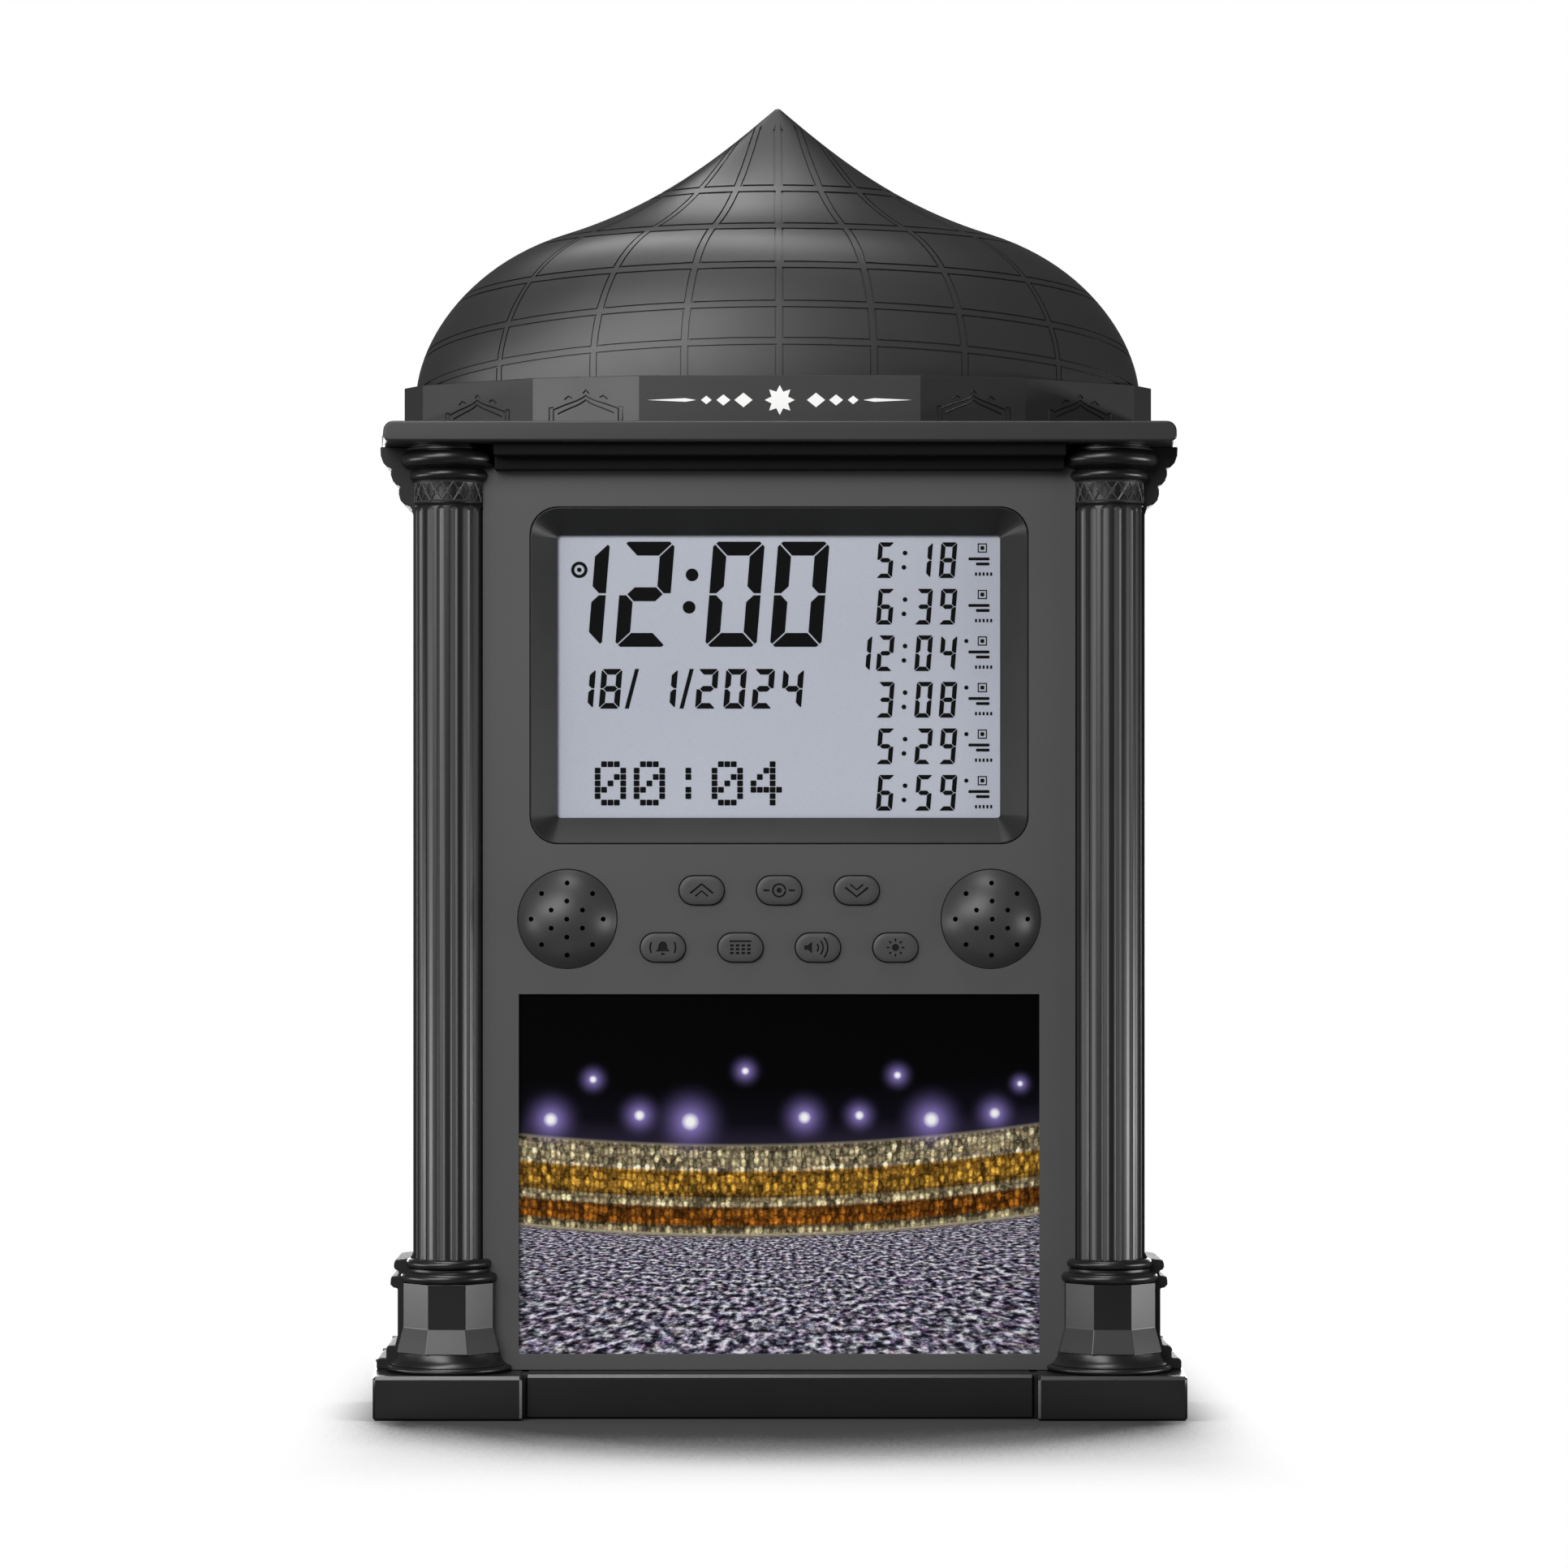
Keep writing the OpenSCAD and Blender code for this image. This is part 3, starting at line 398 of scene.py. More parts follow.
def mouldedPlastic(name, colour, roughness, grain=0.5, depth=0.02, shineLevel=0.5):
    material, tree, place = newMaterial(name)
    erosion = addNode(tree, "TexNoise", {"Scale": 1 / (grain * mm), "Detail": 2, "Vector": place})
    relief = addNode(tree, "Bump", {"Strength": 0.5, "Distance": depth * mm, "Height": erosion})
    patches = addNode(tree, "TexNoise", {"Scale": 1 / (patchWidth * mm), "Detail": 3, "Vector": place})
    shine = addNode(tree, "MapRange",
                    {"To Min": roughness - 0.04, "To Max": roughness + 0.05, "Value": patches})
    return closeMaterial(material, {"Base Color": toLinear(colour), "Specular IOR Level": shineLevel,
                                    "Roughness": shine, "Normal": relief})


# ABS of the case: one black plastic, whose shine follows the finish of each mould. The satin copy is painted
# paler and the cove's copy painted darker, for light and shade
blackAbs = mouldedPlastic("absBlackMoulded", "#161616", 0.42)  # back cover: fine grain, soft shine
blackGloss = mouldedPlastic("absBlackPolishedMould", "#0c0c0c", 0.31, 9, 0.004)  # plinth: clear highlights
blackDullPaintedShade = mouldedPlastic("absBlackTexturedPaintedShade", "#030303", 0.6, 0.5, 0.03, 0.15)  # cove: painted shade, coloured nearly black for the shade under the cornice; little shine
blackSatinPaintedLight = mouldedPlastic("absBlackSatinPaintedLight", "#262626", 0.38, depth=0.004)  # dome, slab and drum: painted light, coloured paler than the other black parts; long soft gradients
bezelAbs = mouldedPlastic("absBezelTexturedMould", "#1a1a1a", 0.38, 3, 0.004)  # even dark slopes
wallAbs = mouldedPlastic("absBlackSideWall", "#101010", 0.5, 0.8, shineLevel=0.3)  # plain dark sides
speakerAbs = mouldedPlastic("absSpeakerMould", "#343434", 0.42, depth=0.004)  # a round highlight on each dome
greyAbs = mouldedPlastic("absGreyMoulded", "#434343", 0.5)  # front panel: matt mid grey
keyAbs = mouldedPlastic("absKeyMoulded", "#383838", 0.5)  # a shade darker than the panel
whiteAbs = mouldedPlastic("absWhiteMoulded", "#dcdcd6", 0.45)  # carrier behind the display
trayAbs = mouldedPlastic("absTrayMoulded", "#202022", 0.48)  # battery bay: dull inside

# Plastics and rubber of the works, which show when the case is open
switchPlastic = mouldedPlastic("pbtSwitchMoulded", "#17191d", 0.5)  # hard and matt
chipEpoxy = mouldedPlastic("epoxyChipMoulded", "#1b1b1d", 0.55)  # stone-like black
leadPvc = mouldedPlastic("pvcLeadExtruded", "#8e1f1c", 0.45, 0.8)  # waxy red
leadDark = mouldedPlastic("pvcLeadExtrudedBlack", "#1c1c1e", 0.45, 0.8)  # waxy black
contactRubber = mouldedPlastic("siliconeRubberSliced", "#3b3b40", 0.7)  # dry, no highlight

# Inks: thin flat coats
inkBlack = mouldedPlastic("lcdDarkSegment", "#040406", 0.6, depth=0.001, shineLevel=0.1)  # darkened crystal
keyInk = mouldedPlastic("padPrintedBlackInk", "#101010", 0.6, depth=0.001, shineLevel=0.2)  # matt black marks
whiteInk = mouldedPlastic("padPrintedWhiteInk", "#f4f4f2", 0.5, depth=0.01)  # opaque white


# Rolled or drawn metal: fine lines along the sheet, which spread the shine
def drawnMetal(name, colour, roughness, pitch=0.25):
    material, tree, place = newMaterial(name)
    along = addNode(tree, "Mapping", {"Scale": (0.08, 1, 1), "Vector": place})
    lines = addNode(tree, "TexNoise", {"Scale": 1 / (pitch * mm), "Detail": 2, "Vector": along})
    relief = addNode(tree, "Bump", {"Strength": 0.4, "Distance": 0.01 * mm, "Height": lines})
    shine = addNode(tree, "MapRange", {"To Min": roughness - 0.08, "To Max": roughness + 0.1, "Value": lines})
    return closeMaterial(material, {"Base Color": toLinear(colour), "Metallic": 1, "Roughness": shine,
                                    "Normal": relief})


zincSteel = drawnMetal("steelZincPlated", "#b4b7bb", 0.34)  # bluish white screws
speakerSteel = drawnMetal("steelPressedNickel", "#9a9da1", 0.38)  # greyer and softer
springSteel = drawnMetal("springWireNickelPlated", "#a9acb0", 0.28, 0.12)  # bright wire
contactBrass = drawnMetal("brassSheetRolled", "#b59a5b", 0.3)  # pale yellow


# Paper and card: short fibres lying every way
def fibreBoard(name, colour, roughness, fibre=0.35):
    material, tree, place = newMaterial(name)
    fibres = addNode(tree, "TexNoise",
                     {"Scale": 1 / (fibre * mm), "Detail": 5, "Distortion": 1.5, "Vector": place})
    tint = addNode(tree, "Mix", {"data_type": "RGBA", "blend_type": "MULTIPLY", 0: 0.3, 6: toLinear(colour),
                                 7: fibres.node.outputs["Color"]}, 2)
    relief = addNode(tree, "Bump", {"Strength": 0.5, "Distance": 0.04 * mm, "Height": fibres})
    return closeMaterial(material, {"Base Color": tint, "Roughness": roughness, "Normal": relief})


conePaper = fibreBoard("coneFeltedPaper", "#3a3936", 0.85)  # dark and furry
backingCard = fibreBoard("greyboardPressed", "#8d8a82", 0.9, 0.6)  # flecked grey


# Circuit board: green solder mask, with the copper tracks showing through as a lighter green net
def makeCircuitBoard():
    material, tree, place = newMaterial("fr4SolderMask")
    turned = addNode(tree, "Mapping", {"Rotation": (math.pi / 2, 0, 0), "Vector": place})
    tracks = addNode(tree, "TexBrick",
                     {"offset": 0.37, "squash": 1.6, "squash_frequency": 3, "Scale": 1 / (9 * mm),
                      "Mortar Size": 0.035, "Color1": toLinear("#155233"), "Color2": toLinear("#124a2d"),
                      "Mortar": toLinear("#2c7a4b"), "Vector": turned})
    relief = addNode(tree, "Bump",
                     {"Strength": 0.4, "Distance": 0.03 * mm, "Height": tracks.node.outputs["Fac"]})
    return closeMaterial(material, {"Base Color": tracks, "Roughness": 0.35, "Normal": relief})


circuitBoard = makeCircuitBoard()


# Flat ribbon cable: clear film over tinned strips
def makeRibbon(pitch=1):  # mm
    material, tree, place = newMaterial("polyesterFilmCable")
    strips = addNode(tree, "TexWave", {"wave_type": "BANDS", "bands_direction": "X",
                                       "Scale": 2 * math.pi / (20 * pitch * mm), "Vector": place}, "Fac")
    tint = addNode(tree, "Mix",
                   {"data_type": "RGBA", 0: strips, 6: toLinear("#d8d3c2"), 7: toLinear("#9b9c9e")}, 2)
    return closeMaterial(material, {"Base Color": tint, "Roughness": 0.3})


ribbonFilm = makeRibbon()


# Liquid crystal glass over a silvered rear polariser: pale grey, with the reflector's fine pearly grain
def makeLiquidCrystal():
    material, tree, place = newMaterial("lcdSilveredPolariser")
    grain = addNode(tree, "TexNoise", {"Scale": 1 / (0.3 * mm), "Detail": 3, "Vector": place})
    cloud = addNode(tree, "TexNoise", {"Scale": 1 / (60 * mm), "Detail": 1, "Vector": place})
    both = addNode(tree, "Math", {"operation": "ADD", 0: grain, 1: cloud})
    share = addNode(tree, "MapRange", {"From Min": 0.7, "From Max": 1.3, "Value": both})
    tint = addNode(tree, "Mix",
                   {"data_type": "RGBA", 0: share, 6: toLinear("#bdc1cf"), 7: toLinear("#c9cdd9")}, 2)
    return closeMaterial(material, {"Base Color": tint, "Roughness": 0.4})


liquidCrystal = makeLiquidCrystal()


# Clear window: sawn and polished acrylic. It lets nearly all light through and keeps a sharp shine.
def makeClearSheet():
    material, tree, place = newMaterial("acrylicPolishedSheet")
    waves = addNode(tree, "TexNoise", {"Scale": 1 / (30 * mm), "Detail": 1, "Vector": place})
    relief = addNode(tree, "Bump", {"Strength": 0.1, "Distance": 0.05 * mm, "Height": waves})
    return closeMaterial(material, {"Base Color": toLinear("#101214"), "Roughness": 0.03, "Alpha": 0.05,
                                    "IOR": 1.49, "Normal": relief})


clearAcrylic = makeClearSheet()


# Photographic print on glossy paper: an invented harbour front at night, over rippled water
picture = {
    "middle": (0, 56.7), "half": (61.5, 42.5), "paper": -4.5, "bend": 0.09, "tilt": -0.03,
    # heights run from 0 at the foot of the picture to 1 at its top
    "bands": [(0.0, "#8f8b9c"), (0.30, "#6f6a74"), (0.325, "#5b4a34"), (0.335, "#d6cfae"), (0.352, "#8a8264"),
              (0.36, "#a8681f"), (0.405, "#8a5a20"), (0.412, "#e0d9b8"), (0.43, "#b3ab88"),
              (0.437, "#6b4d1f"), (0.45, "#c79c3f"), (0.505, "#b98d38"), (0.512, "#efe9cf"),
              (0.53, "#b7ae8c"), (0.54, "#d9d3b4"), (0.575, "#9d9680"), (0.585, "#241f30"),
              (0.64, "#0b0912"), (0.74, "#020203"), (1.0, "#000001")],
    "houses": [(0, "#000000"), (0.33, "#000000"), (0.335, "#ffffff"), (0.575, "#ffffff"), (0.58, "#000000"),
               (1, "#000000")],
    "water": [(0, "#ffffff"), (0.318, "#ffffff"), (0.33, "#000000"), (1, "#000000")],
    "panes": [(0, "#ffffff"), (0.3, "#f4ead0"), (0.55, "#6b5130"), (1, "#120b05")],
    "crests": [(0.0, "#0b0a10"), (0.4, "#17151f"), (0.49, "#5a5566"), (0.56, "#a9a3b4"), (0.64, "#efecf2"),
               (1, "#ffffff")],
    "windowGrid": (55, 21, 1),  # lit windows, about 1.1 mm wide and 2 mm high
    "horizon": 0.15, "ripple": 28, "rippleRise": 1.4,  # the water draws together towards this height
    "lampTint": (0.42, 0.32, 0.85, 1), "lampFade": 3.2, "lampCore": (0.07, 0.2),
    "lamps": [(-54, 69.5, 9), (-33, 70.5, 7), (-21, 69, 11), (6, 70, 8), (19, 70.5, 6), (36, 69.5, 10),
              (51, 71, 7), (-44, 79, 5), (-8, 81, 5), (28, 80, 5), (57, 78, 4)],  # x, z, halo radius, mm
}


def makeNightPrint():
    material, tree, place = newMaterial("printPaperGlossy")
    p = picture
    (x, z), (halfWidth, halfHeight) = p["middle"], p["half"]
    centred = addNode(tree, "Mapping", {"vector_type": "TEXTURE", "Location": (x * mm, 0, z * mm),
                                        "Scale": (halfWidth * mm, 1, halfHeight * mm), "Vector": place})
    split = addNode(tree, "SeparateXYZ", {"Vector": centred}).node.outputs
    # the quay bends: heights follow a shallow curve across the picture
    square = addNode(tree, "Math", {"operation": "MULTIPLY", 0: split["X"], 1: split["X"]})
    bent = addNode(tree, "Math", {"operation": "MULTIPLY_ADD", 0: square, 1: -p["bend"], 2: split["Z"]})
    height = addNode(tree, "Math", {"operation": "MULTIPLY_ADD", 0: split["X"], 1: p["tilt"], 2: bent})
    share = addNode(tree, "MapRange", {"From Min": -1, "Value": height})
    bands = paintRamp(addNode(tree, "ValToRGB", {"Fac": share}), p["bands"])
    flat = addNode(tree, "CombineXYZ", {"X": split["X"], "Y": height})
    # lit windows: uneven cells, each with a brightness of its own
    grid = addNode(tree, "Mapping", {"Scale": p["windowGrid"], "Vector": flat})
    windows = addNode(tree, "TexVoronoi", {"Scale": 1, "Randomness": 0.6, "Vector": grid}, "Distance")
    panes = paintRamp(addNode(tree, "ValToRGB", {"Fac": windows}), p["panes"])
    own = addNode(tree, "MapRange", {"From Min": 0.2, "From Max": 0.8, "To Min": 0.35, "To Max": 1.9,
                                     "Value": windows.node.outputs["Color"]})
    sparkle = addNode(tree, "TexNoise", {"Scale": 60, "Detail": 4, "Roughness": 0.7, "Vector": flat})
    glitter = addNode(tree, "MapRange", {"From Min": 0.42, "From Max": 0.62, "To Min": 0.6, "To Max": 1.5,
                                         "Value": sparkle})
    light = addNode(tree, "Math", {"operation": "MULTIPLY", 0: own, 1: glitter})
    colours = {"data_type": "RGBA"}
    shaded = {"data_type": "RGBA", "blend_type": "MULTIPLY"}
    paned = addNode(tree, "Mix", {**shaded, 0: 0.8, 6: bands, 7: panes}, 2)
    lively = addNode(tree, "Mix", {**shaded, 0: 1, 6: paned, 7: light}, 2)
    built = paintRamp(addNode(tree, "ValToRGB", {"Fac": share}), p["houses"])
    front = addNode(tree, "Mix", {**colours, 0: built, 6: bands, 7: lively}, 2)
    # water: ripples 2 mm long at the foot and finer towards the quay, with streaks of light across them
    below = addNode(tree, "Math", {"operation": "SUBTRACT", 0: p["horizon"], 1: height})
    far = addNode(tree, "Math", {"operation": "DIVIDE", 0: 1, 1: below})
    drawn = addNode(tree, "Math", {"operation": "MULTIPLY", 0: split["X"], 1: far})
    deep = addNode(tree, "Math", {"operation": "MULTIPLY", 0: far, 1: p["rippleRise"]})
    surface = addNode(tree, "CombineXYZ", {"X": drawn, "Y": deep})
    ripples = addNode(tree, "TexNoise",
                      {"Scale": p["ripple"], "Detail": 3, "Roughness": 0.6, "Vector": surface})
    crests = paintRamp(addNode(tree, "ValToRGB", {"Fac": ripples}), p["crests"])
    tints = addNode(tree, "TexNoise", {"Scale": p["ripple"] * 0.7, "Detail": 2, "Vector": surface}, "Color")
    tint = addNode(tree, "Mix", {**colours, "blend_type": "OVERLAY", 0: 0.35, 6: crests, 7: tints}, 2)
    wet = paintRamp(addNode(tree, "ValToRGB", {"Fac": share}), p["water"])
    scene = addNode(tree, "Mix", {**colours, 0: wet, 6: front, 7: tint}, 2)
    for lampX, lampZ, reach in p["lamps"]:
        lamp = (lampX * mm, p["paper"] * mm, lampZ * mm)
        away = addNode(tree, "VectorMath", {"operation": "DISTANCE", 0: place, 1: lamp}, "Value")
        halo = addNode(tree, "MapRange", {"From Max": reach * mm, "To Min": 1, "To Max": 0, "Value": away})
        falloff = addNode(tree, "Math", {"operation": "POWER", 0: halo, 1: p["lampFade"]})
        scene = addNode(tree, "Mix", {**colours, "blend_type": "ADD", "clamp_result": True, 0: falloff,
                                      6: scene, 7: p["lampTint"]}, 2)
        near, edge = [reach * mm * part for part in p["lampCore"]]
        core = addNode(tree, "MapRange", {"From Min": near, "From Max": edge, "To Min": 1, "To Max": 0,
                                          "Value": away})
        scene = addNode(tree, "Mix", {**colours, 0: core, 6: scene, 7: (1, 1, 1, 1)}, 2)
    return closeMaterial(material, {"Base Color": scene, "Roughness": 0.3, "Specular IOR Level": 0.06})


nightPrint = makeNightPrint()

# Works and other CAD pieces that stay as they are. What a piece below replaces isn't listed.
nodeMaterials = {
    "picture_card": nightPrint, "picture_window": clearAcrylic, "picture_backing": backingCard,
    "lcd_carrier": whiteAbs, "zebra_strips": contactRubber, "main_board": circuitBoard,
    "key_board": circuitBoard, "board_components": chipEpoxy, "board_screws": zincSteel,
    "key_board_screws": zincSteel, "key_switches": switchPlastic, "key_ribbon": ribbonFilm,
    "left_speaker": speakerSteel, "right_speaker": speakerSteel, "speaker_cones": conePaper,
    "battery_contacts": contactBrass, "battery_leads": leadPvc, "left_speaker_leads": leadDark,
    "right_speaker_leads": leadDark,
}
for name, node in nodes.items():
    node.data.materials.clear()
    node.data.materials.append(nodeMaterials.get(name, blackAbs))
print("materials made")


# Plinth: two pedestals and a set-back middle block

plinth = {
    "height": 10.4, "front": -20, "back": 18, "frontHalf": 95, "backHalf": 97,
    "inner": 60.2, "blockHalf": 59.6, "blockFront": -16, "grooveFloor": -15, "coreInset": 0.2,
    "topEdge": 0.8, "blockEdge": 0.7, "sideEdge": 0.6,
}


def chamferTop(piece, width):  # a flat chamfer along the upper front edges, and small ones elsewhere
    top = (plinth["height"] - 0.1) * mm
    editOn(piece)
    pick(piece, "edges", lambda e: all(v.co.z > top and v.co.y < 0 for v in e.verts))
    bpy.ops.mesh.bevel(offset=width * mm, segments=1)
    editOff()
    return softenEdges(piece, plinth["sideEdge"], 1, 60)


def makePedestal():  # wider at the back
    p = plinth
    piece = addBox("pedestal", (p["inner"], p["front"], 0), (p["frontHalf"], p["back"], p["height"]))
    editOn(piece)
    pick(piece, "verts", lambda v: v.co.x > (p["frontHalf"] - 1) * mm and v.co.y > 0)
    bpy.ops.transform.translate(value=((p["backHalf"] - p["frontHalf"]) * mm, 0, 0))
    editOff()
    return chamferTop(piece, p["topEdge"])


def makePlinth():
    p = plinth
    pedestal = makePedestal()
    block = addBox("block", (-p["blockHalf"], p["blockFront"], 0), (p["blockHalf"], p["back"], p["height"]))
    chamferTop(block, p["blockEdge"])
    half, inset = p["inner"] + 1, p["coreInset"]
    core = addBox("core", (-half, p["grooveFloor"], inset), (half, p["back"], p["height"] - inset))
    return joinPieces("plinth", [pedestal, mirrorOf(pedestal, "pedestalLeft"), block, core])


finishPiece(makePlinth(), "case", blackGloss, ["base_plinth"])
print("plinth made")


# Columns: stepped eight-sided base, fluted shaft, ringed capital

column = {
    "x": 78, "y": -4.3, "foot": 10.4, "top": 228.7, "core": 8,
    "shaftRadius": 7.85, "shaftLow": 36.6, "fluteTop": 213.1, "shaftTop": 214.4,
    "flutes": 16, "fluteRadius": 1.15, "octagon": 21.2, "octagonLow": 15.0, "octagonFlare": 20.8,
    "octagonTop": 31.3, "flareOut": 1.6, "octagonEdge": 0.16,
    "panelEdge": 70.15, "wallFront": -3.6, "seam": 18, "wallEdge": 0.35,
    # where light is painted in a paler colour: inside this radius of the shaft, and between these levels of the
    # flare
    "paintedLightReach": (7.8, 7.45), "paintedLightFoot": (15.2, 15.3), "paintedLightTop": 20.75, "paintedLightShare": 0.4,
}


# ABS again: painted light: the flutes and the flared foot are coloured paler, for the light that falls in the
# flutes and on the upturned foot, and the rest is polished black
def flutedPlastic(name, polished, paintedLitColour, roughness):
    material, tree, place = newMaterial(name)
    c = column
    split = addNode(tree, "SeparateXYZ", {"Vector": place}).node.outputs
    side = addNode(tree, "Math", {"operation": "ABSOLUTE", 0: split["X"]})
    across = addNode(tree, "Math", {"operation": "SUBTRACT", 0: side, 1: c["x"] * mm})
    ahead = addNode(tree, "Math", {"operation": "SUBTRACT", 0: split["Y"], 1: c["y"] * mm})
    spot = addNode(tree, "CombineXYZ", {"X": across, "Y": ahead})
    reach = addNode(tree, "VectorMath", {"operation": "LENGTH", 0: spot}, "Value")
    outer, inner = c["paintedLightReach"]
    inFlute = addNode(tree, "MapRange", {"From Min": outer * mm, "From Max": inner * mm, "Value": reach})
    underTop = addNode(tree, "Math", {"operation": "LESS_THAN", 0: split["Z"], 1: c["paintedLightTop"] * mm})
    low, high = c["paintedLightFoot"]
    overFoot = addNode(tree, "MapRange", {"From Min": low * mm, "From Max": high * mm,
                                          "To Max": c["paintedLightShare"], "Value": split["Z"]})
    inFlare = addNode(tree, "Math", {"operation": "MULTIPLY", 0: underTop, 1: overFoot})
    paintedLitShare = addNode(tree, "Math", {"operation": "MAXIMUM", 0: inFlute, 1: inFlare})
    tint = addNode(tree, "Mix",
                   {"data_type": "RGBA", 0: paintedLitShare, 6: toLinear(polished), 7: toLinear(paintedLitColour)}, 2)
    patches = addNode(tree, "TexNoise", {"Scale": 1 / (patchWidth * mm), "Detail": 3, "Vector": place})
    shine = addNode(tree, "MapRange",
                    {"To Min": roughness - 0.03, "To Max": roughness + 0.04, "Value": patches})
    return closeMaterial(material, {"Base Color": tint, "Roughness": shine})


blackFlutedPaintedLight = flutedPlastic("absBlackFlutedPaintedLight", "#111111", "#4a4a4a", 0.32)  # painted light: pale flutes and flared foot, dark ridges


def roundRing(z0, z1, radius, inner):  # half-round moulding: points from its foot up to its top
    rise = (z1 - z0) / 2
    turns = [math.radians(a) for a in range(-90, 91, 20)]
    bulge = [(radius - rise + rise * math.cos(t), z0 + rise + rise * math.sin(t)) for t in turns]
    return [(inner, z0)] + bulge + [(inner, z1)]


def makeColumn():
    c = column
    # section of everything that is round, radius and level, from the floor of the column up
    lower = roundRing(10.4, 11.9, 14.9, 13)
    lower += [(13.9, 12.0), (13.1, 12.6), (12.5, 13.6), (12.2, 14.9), (9, 15.3)]
    middle = [(9, 30.9)] + roundRing(31.2, 33.7, 11.5, 10) + [(9.7, 34.0), (9.7, 34.5)]
    middle += roundRing(34.6, 36.8, 10.2, 9) + [(8.4, 36.8)]
    collar = [(7.2, 36.8), (7.2, 214.2), (8.0, 214.2), (8.25, 214.5), (7.9, 214.9)]
    capital = [(7.95, 216), (8.0, 218), (8.1, 219.6), (8.3, 220.3)]
    capital += roundRing(220.4, 222.9, 9.4, 8.4) + [(8.7, 223.2)] + roundRing(223.6, 227.2, 11.6, 9.6)
    capital += [(9.6, 227.3), (10.3, 227.45), (10.3, 227.9), (9.6, 228.1), (9.6, 228.6)]
    points = [(c["core"], c["foot"])] + lower + middle + collar + capital + [(0.5, 228.6)]
    section = [(c["x"] + r, c["y"], z) for r, z in points]
    return spinLine("columnRound", section, 96, (c["x"], c["y"], 0), (0, 0, 1))


def fluteRing(z, tool):  # plan of the shaft at height z, where the fluting tool has this radius
    c = column
    radius, out = c["shaftRadius"], c["shaftRadius"] + c["fluteRadius"] / 3
    reach = math.acos((out * out + tool * tool - radius * radius) / (2 * out * tool))
    edge = math.asin(tool * math.sin(reach) / radius)
    pitch = 2 * math.pi / c["flutes"]
    local = [(out - tool * math.cos(reach * k / 4), tool * math.sin(reach * k / 4)) for k in range(-4, 5)]
    lands = [edge + (pitch - 2 * edge) * k / 3 for k in (1, 2)]
    local += [(radius * math.cos(t), radius * math.sin(t)) for t in lands]
    points = []
    for i in range(c["flutes"]):
        middle = (i + 0.5) * pitch
        points += [(c["x"] + u * math.cos(middle) - v * math.sin(middle),
                    c["y"] + u * math.sin(middle) + v * math.cos(middle), z) for u, v in local]
    return points


def makeShaft():  # the flutes end in round tops
    c = column
    rings = [fluteRing(c["shaftLow"], c["fluteRadius"])]
    smallest = c["fluteRadius"] / 3 + 0.006
    for step in range(7):
        turn = math.acos(smallest / c["fluteRadius"]) * step / 6
        rise, tool = c["fluteRadius"] * math.sin(turn), c["fluteRadius"] * math.cos(turn)
        rings.append(fluteRing(c["fluteTop"] + rise, tool))
    rings.append([(x, y, c["shaftTop"]) for x, y, z in rings[-1]])
    return bridgeRings("shaft", rings)


def makeOctagon():
    c = column
    corner = c["octagon"] / 2 / math.cos(math.pi / 8)
    low, high = c["octagonLow"], c["octagonTop"]
    deselectAll()
    bpy.ops.mesh.primitive_cylinder_add(vertices=8, radius=corner * mm, depth=(high - low) * mm,
                                        location=(c["x"] * mm, c["y"] * mm, (high + low) / 2 * mm),
                                        rotation=(0, 0, math.pi / 8))
    piece = keepAs("octagon")
    editOn(piece)
    pickAll()
    bpy.ops.mesh.bisect(plane_co=(0, 0, c["octagonFlare"] * mm), plane_no=(0, 0, 1))
    pick(piece, "verts", lambda v: v.co.z < (low + 0.1) * mm)
    share = 1 + c["flareOut"] / corner
    bpy.ops.transform.resize(value=(share, share, 1), center_override=(c["x"] * mm, c["y"] * mm, 0))
    editOff()
    return softenEdges(piece, c["octagonEdge"], 2, 12)


def stepRound(x0, z0, x1, z1):  # rounded shoulder of the side wall, from (x0, z0) to (x1, z1)
    return [(x0 + (x1 - x0) * (1 - math.cos(math.radians(a))), z0 + (z1 - z0) * math.sin(math.radians(a)))
            for a in (0, 30, 60, 90)]


def makeSideWall():  # its outline steps in and out like the column in front of it
    c = column
    outline = [(c["panelEdge"], c["foot"]), (95.3, c["foot"])]
    outline += stepRound(95.3, 12.1, 94.4, 13.0) + [(93.0, 13.0)]
    outline += stepRound(93.0, 15.1, 92.1, 16.0) + [(90.9, 16.0), (90.3, 18.5), (90.3, 29.5), (91.3, 29.7)]
    outline += stepRound(92.0, 30.4, 91.7, 32.3) + [(90.2, 32.5), (90.0, 33.6), (90.9, 34.0)]
    outline += stepRound(91.2, 34.6, 90.7, 36.2) + [(87.4, 36.6), (86.6, 38)]
    outline += [(86.6, 212.5), (87.2, 214.6), (88.6, 215.0), (89.6, 216.0), (90.0, 217.4), (90.0, 218.6)]
    outline += [(89.6, 219.5), (90.6, 219.7), (91.4, 220.6), (91.9, 222.0), (91.9, 223.0), (91.6, 223.6)]
    outline += [(92.7, 223.9), (93.7, 224.9), (94.3, 226.6), (94.4, c["top"]), (c["panelEdge"], c["top"])]
    return softenEdges(drawPlate("wall_right", outline, c["wallFront"], c["seam"]), c["wallEdge"], angle=50)


rightColumn = joinPieces("column_right", [makeColumn(), makeShaft(), makeOctagon()])
leftColumn = mirrorOf(rightColumn, "column_left")
rightWall = makeSideWall()
for wall in (rightWall, mirrorOf(rightWall, "wall_left")):
    finishPiece(wall, "case", wallAbs)
finishPiece(rightColumn, "case", blackFlutedPaintedLight, ["right_column"])
finishPiece(leftColumn, "case", blackFlutedPaintedLight, ["left_column"])
print("columns made")

# Neck ornament: a band of crossing lines with small stars, raised on the neck under the capital
neck = {
    "radius": 8.08, "low": 215.4, "high": 219.9, "line": 0.2, "repeats": 18, "star": 0.85,
}


